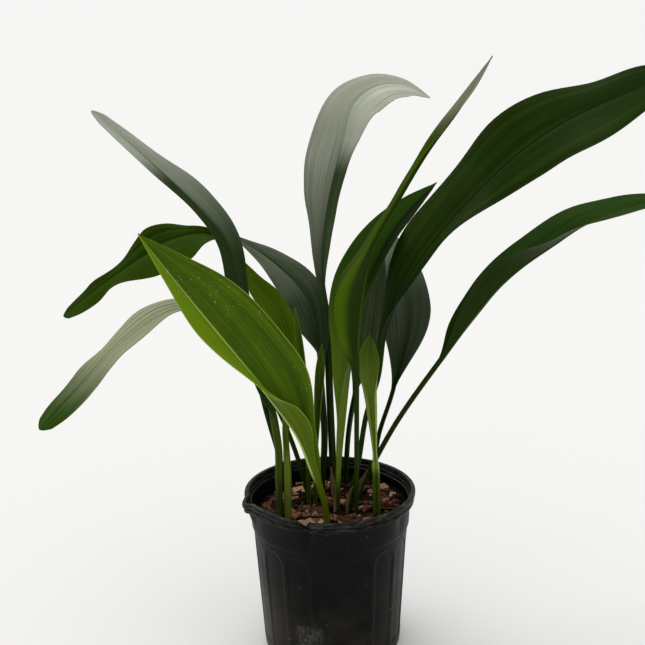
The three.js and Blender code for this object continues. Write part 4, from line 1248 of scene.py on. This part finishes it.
@dataclass
class BarkSoil:
    """The soil that fills the pot, and the bark chips that lie in it, in millimetres."""

    pot: NurseryPot
    stems: Sequence[tuple[float, float, float]]
    level: float = 189.0
    rise: float = 5.0
    gap: float = 0.4
    push_share: float = 1.6
    chip_count: int = 520
    fibre_count: int = 40
    reach: float = 96.0
    crumble: float = 3.4
    chip_lift: float = 0.9
    chip_knock: float = 0.62
    fibre_lift: float = 3.4
    rings: int = 46
    sides: int = 160
    seed: int = 41
    large: Sequence[tuple[float, float, float, Point, float]] = (
        (-31, -54, 20, (27, 18, 11), 0.93),
        (-12, -52, 75, (14, 9, 7), 0.97),
        (18, -62, -10, (26, 12, 5), 0.98),
        (-46, -26, 60, (18, 11, 8), 0.8),
        (70, 44, 15, (24, 15, 8), 0.9),
        (70, 2, -40, (20, 12, 7), 0.82),
        (44, -58, 30, (19, 10, 6), 0.84),
        (84, 18, 80, (17, 10, 6), 0.93),
        (-62, -52, 130, (16, 9, 6), 0.78),
    )

    def height_at(self, x: float, y: float) -> float:
        """Finds the height of the soil, before its crumbs."""
        bumps = 1.6 * math.sin(x / 9 + 1) * math.cos(y / 11) + 1.2 * math.sin((x + y) / 6)
        edge = smooth(1.15 - math.hypot(x, y) / self.pot.floor_radius)
        return self.level + self.rise * x / self.pot.floor_radius + bumps * edge

    def edge_radius(self, angle: float, z: float) -> float:
        """Finds the radius of the soil against the wall, at an angle in degrees."""
        nearby = min(self.pot.rim_push(angle + turn)[0] for turn in (-2, 0, 2))
        push = min(0.0, self.push_share * nearby) * self.pot.push_at(z)
        return self.pot.inner_radius(z) - 0.2 - self.gap + push

    def clear_of_stems(self, x: float, y: float, room: float) -> bool:
        """Tells whether a chip there leaves the stems free."""
        return all(math.hypot(x - sx, y - sy) > stem + room for sx, sy, stem in self.stems)

    def scattered(self, rng: random.Random, length: float) -> tuple[float, float]:
        """Draws a place inside the pot for something of that length."""
        radius = (self.reach - length / 2) * math.sqrt(rng.random())
        angle = rng.uniform(0, 2 * math.pi)
        return radius * math.cos(angle), radius * math.sin(angle)

    def build_bed(self) -> Piece:
        """Turns the soil's body and crumbles its top.

        Returns:
            The bed.
        """
        top = self.level - self.rise
        profile = [(i / self.rings, 1.0) for i in range(self.rings + 1)]
        profile += [(1.0, 0.97), (1.0, 0.5), (1.0, 0.0), (0.0, 0.0)]
        bm = turned(profile, self.sides)
        underside = self.pot.floor_thickness + self.gap
        for vert in bm.verts:
            share, rise = math.hypot(vert.co.x, vert.co.y), vert.co.z
            angle = math.degrees(math.atan2(vert.co.y, vert.co.x)) if share > 0 else 0.0
            z = lerp(underside, top, rise)
            radius = share * self.edge_radius(angle, z)
            x, y = radius * math.cos(math.radians(angle)), radius * math.sin(math.radians(angle))
            if rise == 1.0:
                crumbs = noise.turbulence(Vector((x / 7, y / 7, 0.3)), 4, False, amplitude_scale=0.6)
                z = self.height_at(x, y) + self.crumble * (crumbs - 0.75) * smooth((1 - share) * 18)
            vert.co = (x, y, z)
        return finished(bm, "soil_bed", 80.0)

    def build_chips(self) -> Piece:
        """Scatters the chips and fibres over the bed.

        Returns:
            All of them as one piece.
        """
        rng = random.Random(self.seed)
        bm = bmesh.new()
        tone_layer = bm.verts.layers.float.new(TONE)
        for x, y, turn, size, tone in self.large:
            self.add_chip(bm, tone_layer, rng, (x, y), turn, 0.15, size, tone)
        placed = 0
        while placed < self.chip_count:
            length = lerp(4, 27, rng.random() ** 1.5)
            x, y = self.scattered(rng, length)
            if not self.clear_of_stems(x, y, 0.5 + 0.5 * length):
                continue
            size = (length, length * rng.uniform(0.35, 0.75), rng.uniform(1.5, 2.5) + 0.18 * length)
            tone = 0.98 * rng.random() ** 1.3
            turn, tilt = rng.uniform(0, 360), rng.uniform(-0.4, 0.4)
            self.add_chip(bm, tone_layer, rng, (x, y), turn, tilt, size, tone)
            placed += 1
        bmesh.ops.bevel(
            bm, geom=bm.edges[:], offset=0.5, offset_type="OFFSET", segments=1, profile=0.5,
            affect="EDGES", material=-1, clamp_overlap=True,
        )
        for _ in range(self.fibre_count):
            self.add_fibre(bm, tone_layer, rng)
        return finished(bm, "bark_chip_cover", 30.0)

    def add_chip(
        self, bm: Body, tone_layer: bmesh.types.BMLayerItem, rng: random.Random,
        place: tuple[float, float], turn: float, tilt: float, size: Point, tone: float,
    ) -> None:
        """Adds one chip, a block with knocked corners.

        Args:
            bm: Takes the chip.
            tone_layer: Takes its tone.
            rng: Knocks its corners.
            place: Where it lies.
            turn: The way that it points, in degrees.
            tilt: How far it leans, in radians.
            size: Its length, width and height.
            tone: How light it is, from 0 to 1.
        """
        lift = self.height_at(*place) + self.chip_lift
        matrix = Matrix.Translation((*place, lift)) @ Matrix.Rotation(math.radians(turn), 4, "Z")
        matrix = matrix @ Matrix.Rotation(tilt, 4, "X") @ Matrix.Rotation(rng.uniform(-0.2, 0.2), 4, "Y")
        block = bmesh.ops.create_cube(bm, size=1.0)["verts"]
        for vert in block:
            knocked = [side * part * rng.uniform(self.chip_knock, 1.0) for side, part in zip(size, vert.co)]
            vert.co = matrix @ Vector(knocked)
            vert[tone_layer] = tone

    def add_fibre(self, bm: Body, tone_layer: bmesh.types.BMLayerItem, rng: random.Random) -> None:
        """Adds one thin root or stick that lies on the chips."""
        length = rng.uniform(10, 30)
        while True:
            x, y = self.scattered(rng, length)
            if self.clear_of_stems(x, y, length / 2):
                break
            length = max(6.0, length * 0.9)
        matrix = Matrix.Translation((x, y, self.height_at(x, y) + self.fibre_lift))
        matrix = matrix @ Matrix.Rotation(rng.uniform(0, 2 * math.pi), 4, "Z")
        matrix = matrix @ Matrix.Rotation(math.pi / 2 + rng.uniform(-0.14, 0.14), 4, "X")
        thick = rng.uniform(0.35, 0.9)
        stick = bmesh.ops.create_cone(
            bm, cap_ends=True, segments=6, radius1=thick, radius2=0.6 * thick, depth=length, matrix=matrix,
        )["verts"]
        for vert in stick:
            vert[tone_layer] = rng.uniform(0.55, 0.97)

    def dress(self, bed: Piece, chips: Piece) -> None:
        """Gives the bed and the chips their bark."""
        finish = BarkFinish()
        bed.data.materials.append(finish.crumb_material())
        chips.data.materials.append(finish.chip_material())
        adopt(bed, "bark_soil")
        adopt(chips, "bark_soil")


@dataclass
class Studio:
    """Plain pale floor, soft light from above and the camera, in metres."""

    camera_place: Point = (-0.005, -1.221, 0.746)
    pitch_down: float = 14.1
    picture_turn: float = 1.2
    lens: float = 55.81
    floor_size: float = 30.0
    floor_colour: Colour = (0.8, 0.797, 0.79)
    sky_colour: Colour = (1.0, 0.997, 0.985)
    horizon_light: float = 0.28
    zenith_light: float = 1.15
    backdrop_light: float = 0.92
    lamp_from: Point = (-0.35, 0.45, 1.0)
    lamp_spread: float = 50.0
    lamp_power: float = 1.15

    def build_camera(self) -> None:
        """Sets the camera at the photograph's angle."""
        data = bpy.data.cameras.new("photo_camera")
        data.lens = self.lens
        data.sensor_width = 36.0
        data.clip_end = 200.0
        camera = bpy.data.objects.new("photo_camera", data)
        bpy.context.scene.collection.objects.link(camera)
        camera.matrix_world = (
            Matrix.Translation(self.camera_place)
            @ Matrix.Rotation(math.radians(90 - self.pitch_down), 4, "X")
            @ Matrix.Rotation(math.radians(-self.picture_turn), 4, "Z")
        )
        bpy.context.scene.camera = camera

    def build_floor(self) -> None:
        """Lays the plain floor."""
        bm = bmesh.new()
        bmesh.ops.create_grid(bm, x_segments=1, y_segments=1, size=self.floor_size / MM)
        floor = finished(bm, "studio_floor")
        sheet = NodeSheet("pale_floor")
        cloud = sheet.noise(sheet.position(), 3.0)
        colour = sheet.mix(cloud, self.floor_colour, shaded(self.floor_colour, 0.985))
        sheet.shade(base_color=colour, roughness=0.9, specular_ior_level=0.1)
        floor.data.materials.append(sheet.material)

    def build_sky(self) -> None:
        """Lights the plant from a sky, bright overhead and dim low down, before a pale backdrop."""
        world = bpy.data.worlds.new("studio_sky")
        world.use_nodes = True
        bpy.context.scene.world = world
        nodes, links = world.node_tree.nodes, world.node_tree.links
        background = nodes["Background"]
        background.inputs["Color"].default_value = (*self.sky_colour, 1.0)
        height = nodes.new("ShaderNodeSeparateXYZ")
        links.new(nodes.new("ShaderNodeTexCoord").outputs["Generated"], height.inputs[0])
        light = nodes.new("ShaderNodeMapRange")
        links.new(height.outputs[2], light.inputs["Value"])
        light.inputs["To Min"].default_value = self.horizon_light
        light.inputs["To Max"].default_value = self.zenith_light
        seen = nodes.new("ShaderNodeMix")
        links.new(nodes.new("ShaderNodeLightPath").outputs["Is Camera Ray"], seen.inputs[0])
        links.new(light.outputs[0], seen.inputs[2])
        seen.inputs[3].default_value = self.backdrop_light
        links.new(seen.outputs[0], background.inputs["Strength"])

    def build_lamp(self) -> None:
        """Hangs one broad soft lamp, as far away as the sky."""
        lamp = bpy.data.lights.new("soft_lamp", "SUN")
        lamp.angle = math.radians(self.lamp_spread)
        lamp.energy = self.lamp_power
        holder = bpy.data.objects.new("soft_lamp", lamp)
        bpy.context.scene.collection.objects.link(holder)
        holder.matrix_world = Vector(self.lamp_from).to_track_quat("Z", "Y").to_matrix().to_4x4()

    def build(self) -> None:
        """Sets up the camera, floor and light."""
        self.build_camera()
        self.build_floor()
        self.build_sky()
        self.build_lamp()
        bpy.context.scene.view_settings.view_transform = "Standard"
        LOG.info("studio is set")


def main() -> None:
    """Builds the studio, the pot, the soil and the leaves."""
    logging.basicConfig(level=logging.INFO, format="%(name)s: %(message)s")
    Studio().build()
    pot = NurseryPot()
    pot.dress(pot.build())
    soil = BarkSoil(pot, [(*leaf.foot, leaf.stem) for leaf in LEAVES])
    soil.dress(soil.build_bed(), soil.build_chips())
    for leaf in LEAVES:
        leaf.dress(leaf.build())


if __name__ == "__main__":
    main()
